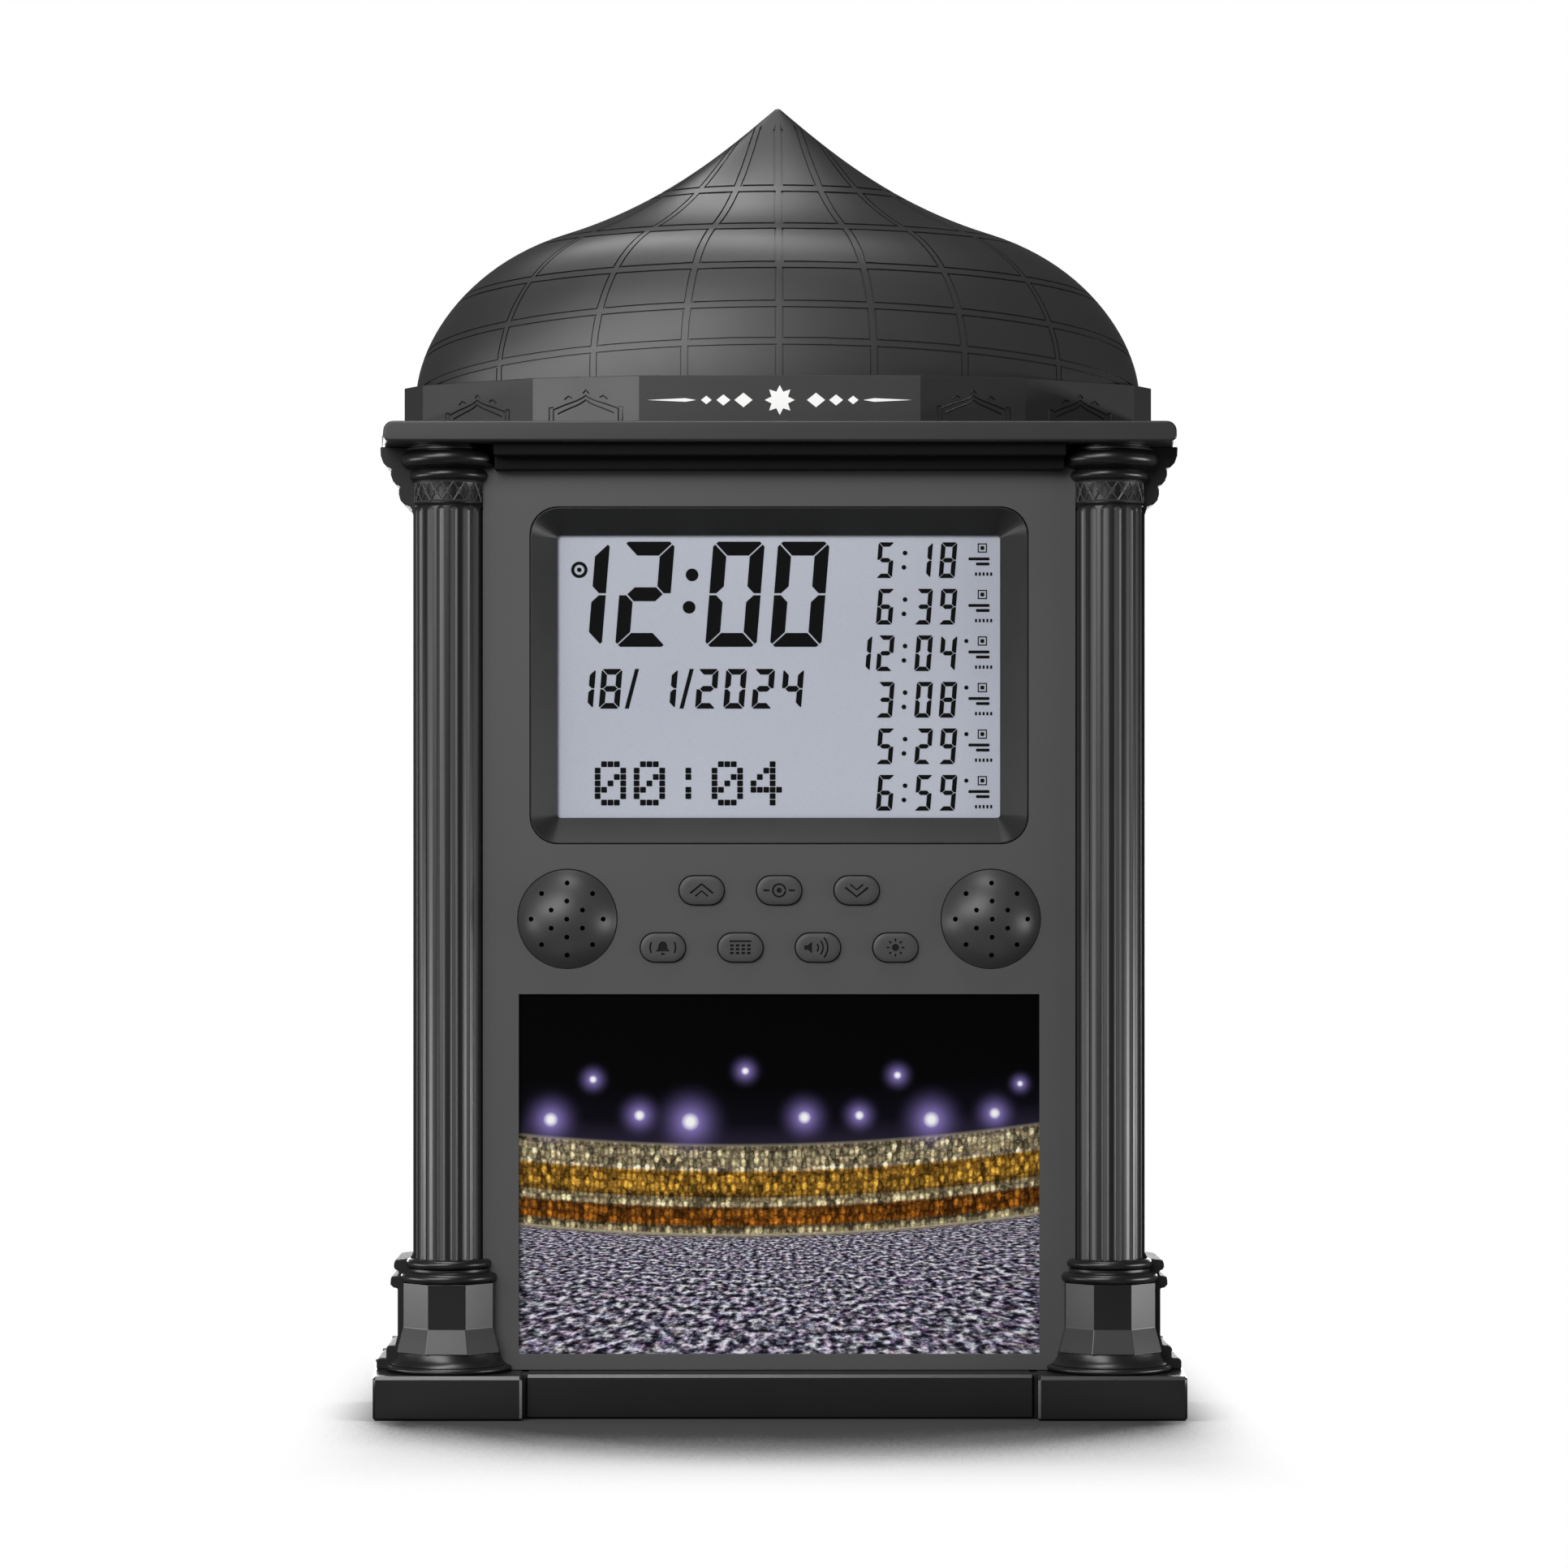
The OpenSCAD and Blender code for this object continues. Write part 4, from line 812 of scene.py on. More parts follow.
def onNeck(u, v):  # u runs round the neck, v up it, mm
    turn = u / neck["radius"]
    return (column["x"] + neck["radius"] * math.sin(turn), column["y"] - neck["radius"] * math.cos(turn),
            neck["low"] + v)


def bandLines():  # only the front of the neck is free of the wall
    width = 2 * math.pi * neck["radius"] / neck["repeats"]
    high = neck["high"] - neck["low"]
    lines = []
    for i in range(-5, 6):
        u = i * width
        for flip in (1, -1):
            lines.append([(u - width / 2, high / 2 * (1 - flip)), (u - width / 4, high * (0.5 - 0.25 * flip)),
                          (u, high / 2), (u + width / 4, high * (0.5 + 0.25 * flip)),
                          (u + width / 2, high / 2 * (1 + flip))])
        for k in range(4):  # an eight-pointed star of four strokes
            turn = math.radians(45 * k)
            a, b = neck["star"] * math.cos(turn), neck["star"] * math.sin(turn)
            lines.append([(u - a, high / 2 - b), (u + a, high / 2 + b)])
    for v in (0, high):
        lines.append([(width * k / 4, v) for k in range(-20, 21)])
    return lines


# painted light: the bands take the paler grey of the grilles, for the light their raised lines catch on the
# black neck
rightNeck = makeRelief("neck_right", bandLines(), neck["line"], onNeck)
for band in (rightNeck, mirrorOf(rightNeck, "neck_left")):
    finishPiece(band, "case", speakerAbs)
print("neck bands made")


# Cornice: slab with rounded ends over a stepped cove

cornice = {
    "low": 228.7, "high": 233.4, "front": -19, "back": 18, "frontHalf": 92.6, "backHalf": 95.5,
    "upperEnd": 2.35, "lowerEnd": 1.2, "edge": 0.5,
    # cove: half width, front, back, foot and top of each step
    "steps": [(67, -15.5, -6, 225.7, 228.9), (67, -11, -6, 222.7, 226)], "stepEdge": 0.3,
}


def makeSlab():  # wider at the back, with its ends rounded over
    c = cornice
    piece = addBox("cornice_slab", (-c["frontHalf"], c["front"], c["low"]),
                   (c["frontHalf"], c["back"], c["high"]))
    editOn(piece)
    for side in (-1, 1):
        pick(piece, "verts", lambda v: v.co.y > 0 and v.co.x * side > 0)
        bpy.ops.transform.translate(value=(side * (c["backHalf"] - c["frontHalf"]) * mm, 0, 0))
    middle = (c["low"] + c["high"]) / 2 * mm
    for side, radius, segments in ((1, c["upperEnd"], 6), (-1, c["lowerEnd"], 4)):
        pick(piece, "edges", lambda e: all((v.co.z - middle) * side > 1.5 * mm for v in e.verts)
             and abs(e.verts[0].co.x - e.verts[1].co.x) < 5 * mm)
        bpy.ops.mesh.bevel(offset=radius * mm, segments=segments, profile=0.5)
    editOff()
    return softenEdges(piece, c["edge"], 3, 50)


def makeCove():
    steps = [addBox("step", (-half, front, foot), (half, back, top))
             for half, front, back, foot, top in cornice["steps"]]
    return joinPieces("cornice_cove", [softenEdges(step, cornice["stepEdge"]) for step in steps])


finishPiece(makeSlab(), "case", blackSatinPaintedLight, ["cornice"])
finishPiece(makeCove(), "case", blackDullPaintedShade)
print("cornice made")


# Drum: five facets on each side, with a line moulding of a peaked arch on four of them

drum = {
    "low": 233.4, "high": 244.4, "plan": [(33, -15), (58, -9), (85, 6.5), (89.8, 14), (89.8, 18)],
    "edge": 0.15, "line": 0.19, "archHalf": 7.9, "postTop": 3.4, "peak": 6.6,
}


def makeDrum():
    d = drum
    outline = d["plan"] + [(-x, y) for x, y in reversed(d["plan"])]
    piece = drawSlab("drum", [(x, y, d["low"]) for x, y in outline], (0, 0, d["high"] - d["low"]))
    return softenEdges(piece, d["edge"], 2, 10)


def archLines():  # the arch on its facet: u runs along the facet, v up from the cornice, mm
    half, post, peak = drum["archHalf"], drum["postTop"], drum["peak"]
    sweep = []
    for i in range(13):
        t = i / 12
        rise = 0.62 * math.sin(t * math.pi / 2) + 0.38 * t ** 5
        sweep.append((-half + half * t, post + (peak - post) * rise))
    arch = sweep + [(-u, v) for u, v in reversed(sweep[:-1])]
    lines = [arch, [(u * 0.86, v - 1.0) for u, v in arch]]
    for side in (-1, 1):
        outer = side * (half + 1.0)
        lines.append([(side * half, 0.2), (side * half, post)])
        lines.append([(outer, 0.2), (outer, post + 0.5), (side * half, post + 0.5)])
        lines.append([(side * half * 0.66, 5.7), (side * half * 0.54, 6.5), (side * half * 0.42, 6.1)])
    lines.append([(-0.7, peak + 0.5), (0, peak + 1.3), (0.7, peak + 0.5)])
    return lines


def makeArches():
    d = drum
    reliefs = []
    for side in (-1, 1):
        corners = [Vector((side * x, y)) for x, y in d["plan"][:3]]
        for a, b in zip(corners, corners[1:]):
            along = (b - a).normalized()
            centre = (a + b) / 2
            reliefs.append(makeRelief("arch", archLines(), d["line"],
                                      lambda u, v: (*(centre + along * u * side), d["low"] + v)))
    return joinPieces("drum_arches", reliefs)


drumPiece = makeDrum()
finishPiece(makeArches(), "case", blackGloss)
finishPiece(drumPiece, "case", blackSatinPaintedLight, ["drum_band"], smooth=8)
print("drum made")


# Dome: half onion with raised ribs

dome = {
    "radius": 87, "height": 67.6, "foot": 244.4, "edge": 16, "back": 18, "bulge": 29.5,
    "tipRadius": 1.3, "tipStart": 0.65, "tipTurns": (54, 66, 78, 90),
    "low": [(1, 0), (0.983, 0.19), (0.851, 0.444), (0.595, 0.547)],
    "high": [(0.595, 0.547), (0.308, 0.661), (0.13, 0.865), (0, 1.0055)],
    "steps": 22, "sides": 72, "ribWidth": 1.3, "grooveWidth": 0.42, "grooveDepth": 0.4,
    "ribTop": 307.5,
    "meridians": [0, 0.26, 0.51, 0.77], "axisFoot": 250, "axisLean": 12 / 49,
    "parallels": [(291.5, 0.03), (281.4, 0.05), (271.4, 0.09), (261.7, 0.13), (252.7, 0.135)],
}


def bezierPoint(p, t):
    weights = ((1 - t) ** 3, 3 * t * (1 - t) ** 2, 3 * t * t * (1 - t), t ** 3)
    return [sum(w * q[i] for w, q in zip(weights, p)) for i in (0, 1)]


def makeDome():
    d = dome
    outline = [bezierPoint(curve, i / d["steps"])
               for curve in (d["low"], d["high"]) for i in range(d["steps"])]
    tip, top = d["tipRadius"], d["foot"] + d["height"]
    points = [(r * d["radius"], 0, d["foot"] + z * d["height"]) for r, z in outline
              if r * d["radius"] > d["tipStart"] * tip]
    points += [(max(0.001, tip * math.cos(math.radians(a))), 0, top - tip + tip * math.sin(math.radians(a)))
               for a in d["tipTurns"]]
    piece = drawLine("dome", points)
    pickAll()
    bpy.ops.mesh.spin(steps=d["sides"], angle=math.pi, center=(0, 0, 0), axis=(0, 0, 1))
    pickAll()
    bpy.ops.mesh.remove_doubles(threshold=0.01 * mm)
    # a pair of narrow grooves runs beside each rib, cut while the plan is still a half circle
    ribs = []
    for share in d["meridians"]:
        for side in ((1,) if share == 0 else (1, -1)):
            outward = Vector((share * side, -math.sqrt(1 - share * share), 0))
            axis = Vector((0, d["axisLean"], 1))
            ribs.append((Vector((0, 0, d["axisFoot"])) * mm, outward.cross(axis).normalized()))
    for level, lean in d["parallels"]:
        front = next(r for r, z in reversed(outline) if z * d["height"] < level - d["foot"]) * d["radius"]
        ribs.append((Vector((0, -front, level)) * mm, Vector((0, lean, 1)).normalized()))
    inner = d["ribWidth"] / 2 * mm
    outer = inner + d["grooveWidth"] * mm
    for place, normal in ribs:
        for offset in (-outer, -inner, inner, outer):
            pickAll()
            bpy.ops.mesh.bisect(plane_co=place + normal * offset, plane_no=normal)
    squeeze = d["bulge"] / d["radius"]
    pickAll()
    bpy.ops.transform.resize(value=(1, squeeze, 1), center_override=(0, 0, 0))
    bpy.ops.transform.translate(value=(0, d["edge"] * mm, 0))
    bpy.ops.mesh.normals_make_consistent(inside=False)

    def inGroove(face):
        middle = face.calc_center_median()
        if middle.z > d["ribTop"] * mm:
            return False
        middle.y = (middle.y - d["edge"] * mm) / squeeze
        away = [abs((middle - place).dot(normal)) for place, normal in ribs]
        return min(away) > inner and any(distance < outer for distance in away)

    pick(piece, "faces", inGroove)
    bpy.ops.mesh.extrude_region_shrink_fatten(TRANSFORM_OT_shrink_fatten={"value": -d["grooveDepth"] * mm})
    pick(piece, "edges", lambda e: e.is_boundary and any(v.co.z > (d["foot"] + 0.05) * mm for v in e.verts)
         and all(abs(v.co.y - d["edge"] * mm) < 0.3 * mm for v in e.verts))
    bpy.ops.mesh.extrude_region_move(TRANSFORM_OT_translate={"value": (0, (d["back"] - d["edge"]) * mm, 0)})
    editOff()
    return piece


finishPiece(makeDome(), "case", blackSatinPaintedLight, ["dome_shell"], smooth=28)
print("dome made")


# Front panel and sloping display bezel

finishPiece(softCopy("front_panel", "panel_front", 0.3), "case", greyAbs, ["front_panel"])

bezel = {
    "z": 174.5, "half": (58.8, 39.75), "corner": 6.7, "front": -6, "rim": 0.3, "edge": 0.12,
    "view": (52.6, 33.55), "viewCorner": 0.8, "sight": 0, "back": 1,
    "flange": 2, "flangeFront": -3.5, "flangeBack": -2,
}


def makeBezel():
    b = bezel

    def outer(grow):
        return roundedOutline(b["half"][0] + grow, b["half"][1] + grow, b["corner"] + grow)

    def inner(grow):
        return roundedOutline(b["view"][0] + grow, b["view"][1] + grow, b["viewCorner"] + grow)

    front, edge, rim = b["front"], b["edge"], b["rim"]
    section = [
        (front + edge, outer(0)), (front, outer(-edge)),
        (front, outer(-rim)), (front + edge, outer(-rim - edge)),
        (b["sight"] - edge, inner(edge)), (b["sight"], inner(0)),
        (b["back"], inner(0)), (b["back"], outer(0)),
        (b["flangeBack"], outer(0)), (b["flangeBack"], outer(b["flange"])),
        (b["flangeFront"], outer(b["flange"])), (b["flangeFront"], outer(0)), (front + edge, outer(0)),
    ]
    return bridgeRings("bezel_frame", [ringAt(outline, y, b["z"]) for y, outline in section], closeEnds=False)


finishPiece(makeBezel(), "case", bezelAbs, ["display_bezel"], smooth=30)
print("front made")


# Display: clear window, liquid crystal glass and the figures in it

display = {
    "z": 174.5, "glass": (56, 36.95), "glassFront": 1, "glassBack": 2.4,
    "window": (54, 34.95), "windowFront": 0, "windowBack": 0.9, "inkFront": 0.93, "inkBack": 0.97,
    # figures: left end of each cell, foot, height, width, stroke, gap, all in mm
    "slant": 4.6, "cornerCut": 0.28,
    "time": {"foot": 181.6, "height": 25, "width": 12.2, "stroke": 3.3, "gap": 0.24,
             "figures": [("1", -54.3), ("2", -38.9), ("0", -17.5), ("0", -2.1)]},
    "colon": [(-20.6, 198.7), (-21.3, 191.0)], "colonRadius": 1.5,
    "date": {"foot": 166.9, "height": 9.45, "width": 4.9, "stroke": 1.35, "gap": 0.14,
             "figures": [("1", -49.1), ("8", -42.8), ("1", -29.6), ("2", -19.9), ("0", -13.2), ("2", -6.5),
                         ("4", 0.4)]},
    "slashes": [(-36.6, -33.2), (-23.6, -20.2)], "slashWidth": 0.95,
    "ring": {"place": (-47.4, 199.9), "radius": 1.95, "thick": 0.75, "dot": 0.55},
    "hours": {"height": 8.5, "width": 3.8, "stroke": 1.05, "gap": 0.1, "cells": [17.8, 23.1, 32.2, 38.0],
              "colonAt": 29.9, "colonRadius": 0.55, "colonRise": 1.7, "top": 202.2, "pitch": 11.06,
              "rows": [" 518", " 639", "1204", " 308", " 529", " 659"]},
    # plain marks beside each time: a small square in a frame, two bars, a row of ticks and a dot
    "mark": {"frame": (48.4, 2.9), "frameReach": 1.55, "frameLine": 0.35, "square": (0.45, 0.45, 0.2),
             "bars": [(2.5, 47.6, 0.3), (1.6, 48.5, -0.9)], "barHalf": 0.34, "barCorner": 0.2,
             "ticks": [46.9 + 0.9 * k for k in range(5)], "ticksAt": -3.3, "tick": (0.24, 0.4, 0.1),
             "dotAt": (44.6, 2.9), "dot": (0.5, 0.5, 0.49)},  # half width, half height and corner of each
    "dots": {"left": -43.8, "top": 153.7, "pitch": 1.52, "size": 1.36, "step": 9.26, "figures": "00:04"},
}

litSegments = {"0": "abcdef", "1": "bc", "2": "abged", "3": "abgcd", "4": "fgbc",
               "5": "afgcd", "6": "afgedc", "8": "abcdefg", "9": "abcdfg"}
dotRows = {
    "0": ["01110", "10001", "10011", "10101", "11001", "10001", "01110"],
    "4": ["00010", "00110", "01010", "10010", "11111", "00010", "00010"],
    ":": ["00000", "00100", "00100", "00000", "00100", "00100", "00000"],
}
ink = []


def inkPlate(outline):
    ink.append(drawPlate("ink", outline, display["inkFront"], display["inkBack"]))


def segmentPlates(font):  # the seven bars of a figure, mitred where they meet, at the left foot of its cell
    w, h, t, g = font["width"], font["height"], font["stroke"], font["gap"]
    cut = t * display["cornerCut"]
    upright = [(0, h - cut - g), (cut / 2, h - cut / 2 - g), (t, h - t - g), (t, h / 2 + t / 2 + g),
               (t / 2, h / 2 + g), (0, h / 2 + g)]
    level = [(cut + g, h), (w - cut - g, h), (w - cut / 2 - g, h - cut / 2),
             (w - t - g, h - t), (t + g, h - t), (cut / 2 + g, h - cut / 2)]
    middle = [(t / 2 + g, h / 2), (t + g, h / 2 + t / 2), (w - t - g, h / 2 + t / 2), (w - t / 2 - g, h / 2),
              (w - t - g, h / 2 - t / 2), (t + g, h / 2 - t / 2)]
    bars = {
        "a": level, "d": [(x, h - z) for x, z in level], "g": middle, "f": upright,
        "b": [(w - x, z) for x, z in upright], "e": [(x, h - z) for x, z in upright],
        "c": [(w - x, h - z) for x, z in upright],
    }
    lean = math.tan(math.radians(display["slant"]))
    front, back = display["inkFront"], display["inkBack"]
    return {letter: drawPlate("bar", [(x + z * lean, z) for x, z in bar], front, back)
            for letter, bar in bars.items()}


def placeFigure(plates, figure, x, z):
    for letter in litSegments[figure]:
        ink.append(movePiece(copyOf(plates[letter], "ink"), x, 0, z))


for font in (display["time"], display["date"]):
    plates = segmentPlates(font)
    for figure, x in font["figures"]:
        placeFigure(plates, figure, x, font["foot"])
    for plate in plates.values():
        bpy.data.objects.remove(plate)
for x, z in display["colon"]:
    inkPlate(roundMark(x, z, display["colonRadius"]))
for low, high in display["slashes"]:
    foot, top = display["date"]["foot"], display["date"]["foot"] + display["date"]["height"]
    wide = display["slashWidth"]
    inkPlate([(low, foot), (low + wide, foot), (high, top), (high - wide, top)])

hours, mark = display["hours"], display["mark"]
plates = segmentPlates(hours)
for row, figures in enumerate(hours["rows"]):
    middle = hours["top"] - row * hours["pitch"]
    for figure, x in zip(figures, hours["cells"]):
        if figure != " ":
            placeFigure(plates, figure, x, middle - hours["height"] / 2)
    for rise in (-hours["colonRise"], hours["colonRise"]):
        inkPlate(roundMark(hours["colonAt"] + rise * 0.08, middle + rise, hours["colonRadius"]))
    frameX, frameZ = mark["frame"][0], middle + mark["frame"][1]
    for turn in (45, 225):
        inkPlate(arcBand(mark["frameReach"], mark["frameLine"], turn, turn + 180, 2, frameX, frameZ))
    inkPlate(roundedAt(*mark["square"], frameX, frameZ))
    for half, x, rise in mark["bars"]:
        inkPlate(roundedAt(half, mark["barHalf"], mark["barCorner"], x, middle + rise))
    for x in mark["ticks"]:
        inkPlate(roundedAt(*mark["tick"], x, middle + mark["ticksAt"]))
    if row > 1:
        inkPlate(roundedAt(*mark["dot"], mark["dotAt"][0], middle + mark["dotAt"][1]))
for plate in plates.values():
    bpy.data.objects.remove(plate)

ring = display["ring"]
for turn in (0, 180):
    inkPlate(arcBand(ring["radius"], ring["thick"], turn, turn + 180, 12, *ring["place"]))
inkPlate(roundMark(*ring["place"], ring["dot"]))
dots = display["dots"]
half = dots["size"] / 2
square = drawPlate("dot", roundedOutline(half, half, 0.12, 1), display["inkFront"], display["inkBack"])
for place, figure in enumerate(dots["figures"]):
    for row, line in enumerate(dotRows[figure]):
        for across, lit in enumerate(line):
            if lit == "1":
                x = dots["left"] + place * dots["step"] + (across + 0.5) * dots["pitch"]
                ink.append(movePiece(copyOf(square, "ink"), x, 0, dots["top"] - row * dots["pitch"]))
bpy.data.objects.remove(square)
finishPiece(joinPieces("display_figures", ink), "case", inkBlack)


def makeSheet(name, half, front, back, edge):  # flat sheet behind the bezel
    x, rise = half
    return softenEdges(addBox(name, (-x, front, display["z"] - rise), (x, back, display["z"] + rise)), edge)


glass = makeSheet("display_glass", display["glass"], display["glassFront"], display["glassBack"], 0.15)
finishPiece(glass, "case", liquidCrystal, ["lcd_panel"])
pane = makeSheet("display_pane", display["window"], display["windowFront"], display["windowBack"], 0.1)
finishPiece(pane, "case", clearAcrylic, ["display_window"])
print("display made")


# Keys: convex caps with an engraved mark, on a flange and a stem

keys = {
    "half": (5.3, 3.4), "capBack": -3.3, "capFront": -7.2, "flange": (6.5, 4.6), "flangeBack": -2.3,
    "stem": 1.6, "stemBack": 2, "engraveFloor": -6.8, "inkThick": 0.05,
    # the crown of the cap: how far behind the front each ring lies, and how far in from the rim
    "crown": [(0.5, 0), (0.22, 0.12), (0.1, 0.4), (0.03, 1.0), (0, 1.9)],
    "upperZ": 123.725, "lowerZ": 110.225,
    "upper": {"up_button": -18.3, "set_button": 0, "down_button": 18.3},
    "lower": {"alarm_button": -27.45, "date_button": -9.15, "volume_button": 9.15, "light_button": 27.45},
}


def penStroke(points, width):  # outline of a line drawn with a pen this wide, mm
    left, right = [], []
    for i, (x, z) in enumerate(points):
        before, after = points[max(i - 1, 0)], points[min(i + 1, len(points) - 1)]
        dx, dz = after[0] - before[0], after[1] - before[1]
        share = width / 2 / math.hypot(dx, dz)
        left.append((x - dz * share, z + dx * share))
        right.append((x + dz * share, z - dx * share))
    return left + right[::-1]


def chevrons(way):  # two nested, pointing up or down
    outer, inner = [(-2.7, -0.7), (0, 1.5), (2.7, -0.7)], [(-1.5, -1.4), (0, -0.1), (1.5, -1.4)]
    return [penStroke([(x, z * way) for x, z in line], width) for line, width in ((outer, 0.5), (inner, 0.4))]


keyMarks = {
    "up_button": chevrons(1),
    "set_button": [arcBand(1.7, 0.42, 4, 356, 24), roundMark(0, 0, 0.62, 12)]
                  + [roundedAt(0.75, 0.22, 0.15, x, 0) for x in (-3, 3)],
    "down_button": chevrons(-1),
    "alarm_button": [[(-1.7, -0.9), (1.7, -0.9), (1.15, -0.3), (0.95, 0.8), (0.45, 1.4), (-0.45, 1.4),
                      (-0.95, 0.8), (-1.15, -0.3)], roundedAt(0.45, 0.22, 0.15, 0, -1.5)]
                    + [arcBand(3.2, 0.4, middle - 25, middle + 25, 6) for middle in (180, 0)],
    "date_button": [roundedAt(0.42, 0.28, 0.08, x, z)
                    for x in (-2, -0.67, 0.67, 2) for z in (-1.3, -0.4, 0.5)]
                   + [roundedAt(2.6, 0.2, 0.1, 0, 1.5)],
    "volume_button": [[(-3.2, -0.5), (-2.4, -0.5), (-1.4, -1.4), (-1.4, 1.4), (-2.4, 0.5), (-3.2, 0.5)]]
                     + [arcBand(reach, 0.38, -42, 42, 8, -1.2) for reach in (1.5, 2.6, 3.7)],
    "light_button": [roundMark(0, 0, 0.85, 16)]
                    + [arcBand(2.1, 0.7, k * 45 - 6, k * 45 + 6, 2) for k in range(8)],
}


def makeKey():
    k = keys
    wide, high = k["half"]
    rings = [(k["capBack"], 0)] + [(k["capFront"] + behind, inset) for behind, inset in k["crown"]]
    cap = bridgeRings("cap", [ringAt(roundedOutline(wide - inset, high - inset, high - inset), y)
                              for y, inset in rings])
    flange = drawPlate("flange", roundedOutline(*k["flange"], 1.5), k["capBack"], k["flangeBack"])
    stem = addRod("stem", k["stem"], k["flangeBack"], k["stemBack"], 0, 0, 24)
    return cap, joinPieces("back", [softenEdges(flange, 0.15), softenEdges(stem, 0.2)])


def drawMarks(name, button, front, back):
    return joinPieces(name, [drawPlate("mark", outline, front, back) for outline in keyMarks[button]])


cap, capBack = makeKey()
inkBed = keys["engraveFloor"]
for z, row in ((keys["upperZ"], keys["upper"]), (keys["lowerZ"], keys["lower"])):
    for name, x in row.items():
        engraved = cutOut(copyOf(cap, "key"), drawMarks("cutters", name, keys["capFront"] - 0.4, inkBed))
        key = joinPieces(name.replace("button", "key"), [engraved, copyOf(capBack, "back")])
        paint = drawMarks(name.replace("button", "mark"), name, inkBed - keys["inkThick"], inkBed)
        finishPiece(movePiece(key, x, 0, z), name, keyAbs, [name])
        finishPiece(movePiece(paint, x, 0, z), name, keyInk)
bpy.data.objects.remove(cap)
bpy.data.objects.remove(capBack)
print("keys made")


# Speaker grilles: shallow domes with fifteen sound holes

grille = {
    "x": 50, "z": 116.975, "radius": 11.45, "ball": 14.67, "front": -11.5, "skin": 1.2,
    "collar": 11.7, "collarFront": -5.8, "bore": 10.4,
    "flange": 13.4, "flangeFront": -3.5, "flangeBack": -2.5,
    "hole": 0.58, "holeBack": -6.2, "rings": [(1, 0), (6, 4.25), (8, 8.5)],  # holes in each ring, its radius
}


def makeGrille():
    g = grille

    def ballAt(radius, ball):  # where a ball round the grille's centre has this radius
        return (radius, g["front"] + g["ball"] - math.sqrt(ball ** 2 - radius ** 2))

    section = [ballAt(g["radius"] * k / 16, g["ball"]) for k in range(17)]
    section += [(g["collar"], g["collarFront"]), (g["collar"], g["flangeFront"]),
                (g["flange"] - 0.15, g["flangeFront"]), (g["flange"], g["flangeFront"] + 0.15),
                (g["flange"], g["flangeBack"]), (g["bore"], g["flangeBack"])]
    section += [ballAt(g["bore"] * k / 8, g["ball"] - g["skin"]) for k in range(8, -1, -1)]
    points = [(g["x"] + r, y, g["z"]) for r, y in section]
    piece = spinLine("grille", points, 72, (g["x"], 0, g["z"]), (0, 1, 0))
    holes = []
    for count, reach in g["rings"]:
        for i in range(count):
            turn = math.radians(90 + 360 * i / count)
            x, z = g["x"] + reach * math.cos(turn), g["z"] + reach * math.sin(turn)
            holes.append(addRod("hole", g["hole"], g["front"] - 1, g["holeBack"], x, z, 20))
    return cutOut(piece, joinPieces("holes", holes))


rightGrille = makeGrille()
leftGrille = mirrorOf(rightGrille, "grille_left")
rightGrille.name = "grille_right"
finishPiece(rightGrille, "case", speakerAbs, ["right_speaker_grille"], smooth=30)
finishPiece(leftGrille, "case", speakerAbs, ["left_speaker_grille"], smooth=30)
print("grilles made")


# Drum ornament: an eight-pointed star between lozenges, printed in white on the middle facet

emblem = {
    "front": -15.1, "back": -14.95, "z": 238.6, "star": 3.5, "starInner": 2.1,
    "lozenges": [(8.5, 1.7), (13.2, 1.3), (17.2, 1.0)], "lozengeShape": 1.25,
    "lineStart": 19.6, "lineWidest": 22.1, "lineEnd": 31, "lineHalf": 0.42,
}


def makeEmblem():
    e = emblem
    z = e["z"]
    star = []
    for i in range(16):
        turn = math.radians(90 + 22.5 * i)
        reach = e["star"] if i % 2 == 0 else e["starInner"]
        star.append((reach * math.cos(turn), z + reach * math.sin(turn)))
    outlines = [star]
    for side in (-1, 1):
        for x, r in e["lozenges"]:
            wide = r * e["lozengeShape"]
            middle = side * x
            outlines.append([(middle - wide, z), (middle, z - r), (middle + wide, z), (middle, z + r)])
        outlines.append([(side * e["lineStart"], z), (side * e["lineWidest"], z + e["lineHalf"]),
                         (side * e["lineEnd"], z), (side * e["lineWidest"], z - e["lineHalf"])])
    return joinPieces("drum_emblem", [drawPlate("mark", outline, e["front"], e["back"])
                                      for outline in outlines])


finishPiece(makeEmblem(), "case", whiteInk)
print("emblem made")


# Back: cover, battery door, the bay with its cells and springs, and the case screws

screw = {
    "places": [(64.5, 105.6), (64.5, 219.95), (78, 21.2), (25, 237.9)],  # x on both sides, z
    "seat": 16.4, "rise": 2.2, "head": 2.6, "shank": 1.25,
    "slotWidth": 0.75, "slotLength": 3.3, "slotDepth": 1.1,
}
cell = {
    "radius": 7.15, "length": 50.2, "shoulder": 49, "cap": 2.7, "inner": 6.2,
    "rows": [77.5, 92.4], "y": 10.55, "start": -22.7,
    # along the sleeve, from the flat end: bare steel, graphite, copper, bare steel
    "print": [(0, "#b9bbbe"), (0.02, "#b9bbbe"), (0.021, "#2b2c2f"), (0.72, "#2b2c2f"), (0.721, "#a8683a"),
              (0.97, "#a8683a"), (0.971, "#b9bbbe"), (1, "#b9bbbe")],
    "bare": [(0, "#ffffff"), (0.02, "#ffffff"), (0.021, "#000000"), (0.97, "#000000"), (0.971, "#ffffff"),
             (1, "#ffffff")],
}
spring = {
    "start": -27.9, "length": 5.1, "wire": 0.32, "footRadius": 3.25, "tipRadius": 2.4, "turns": 4.5,
}


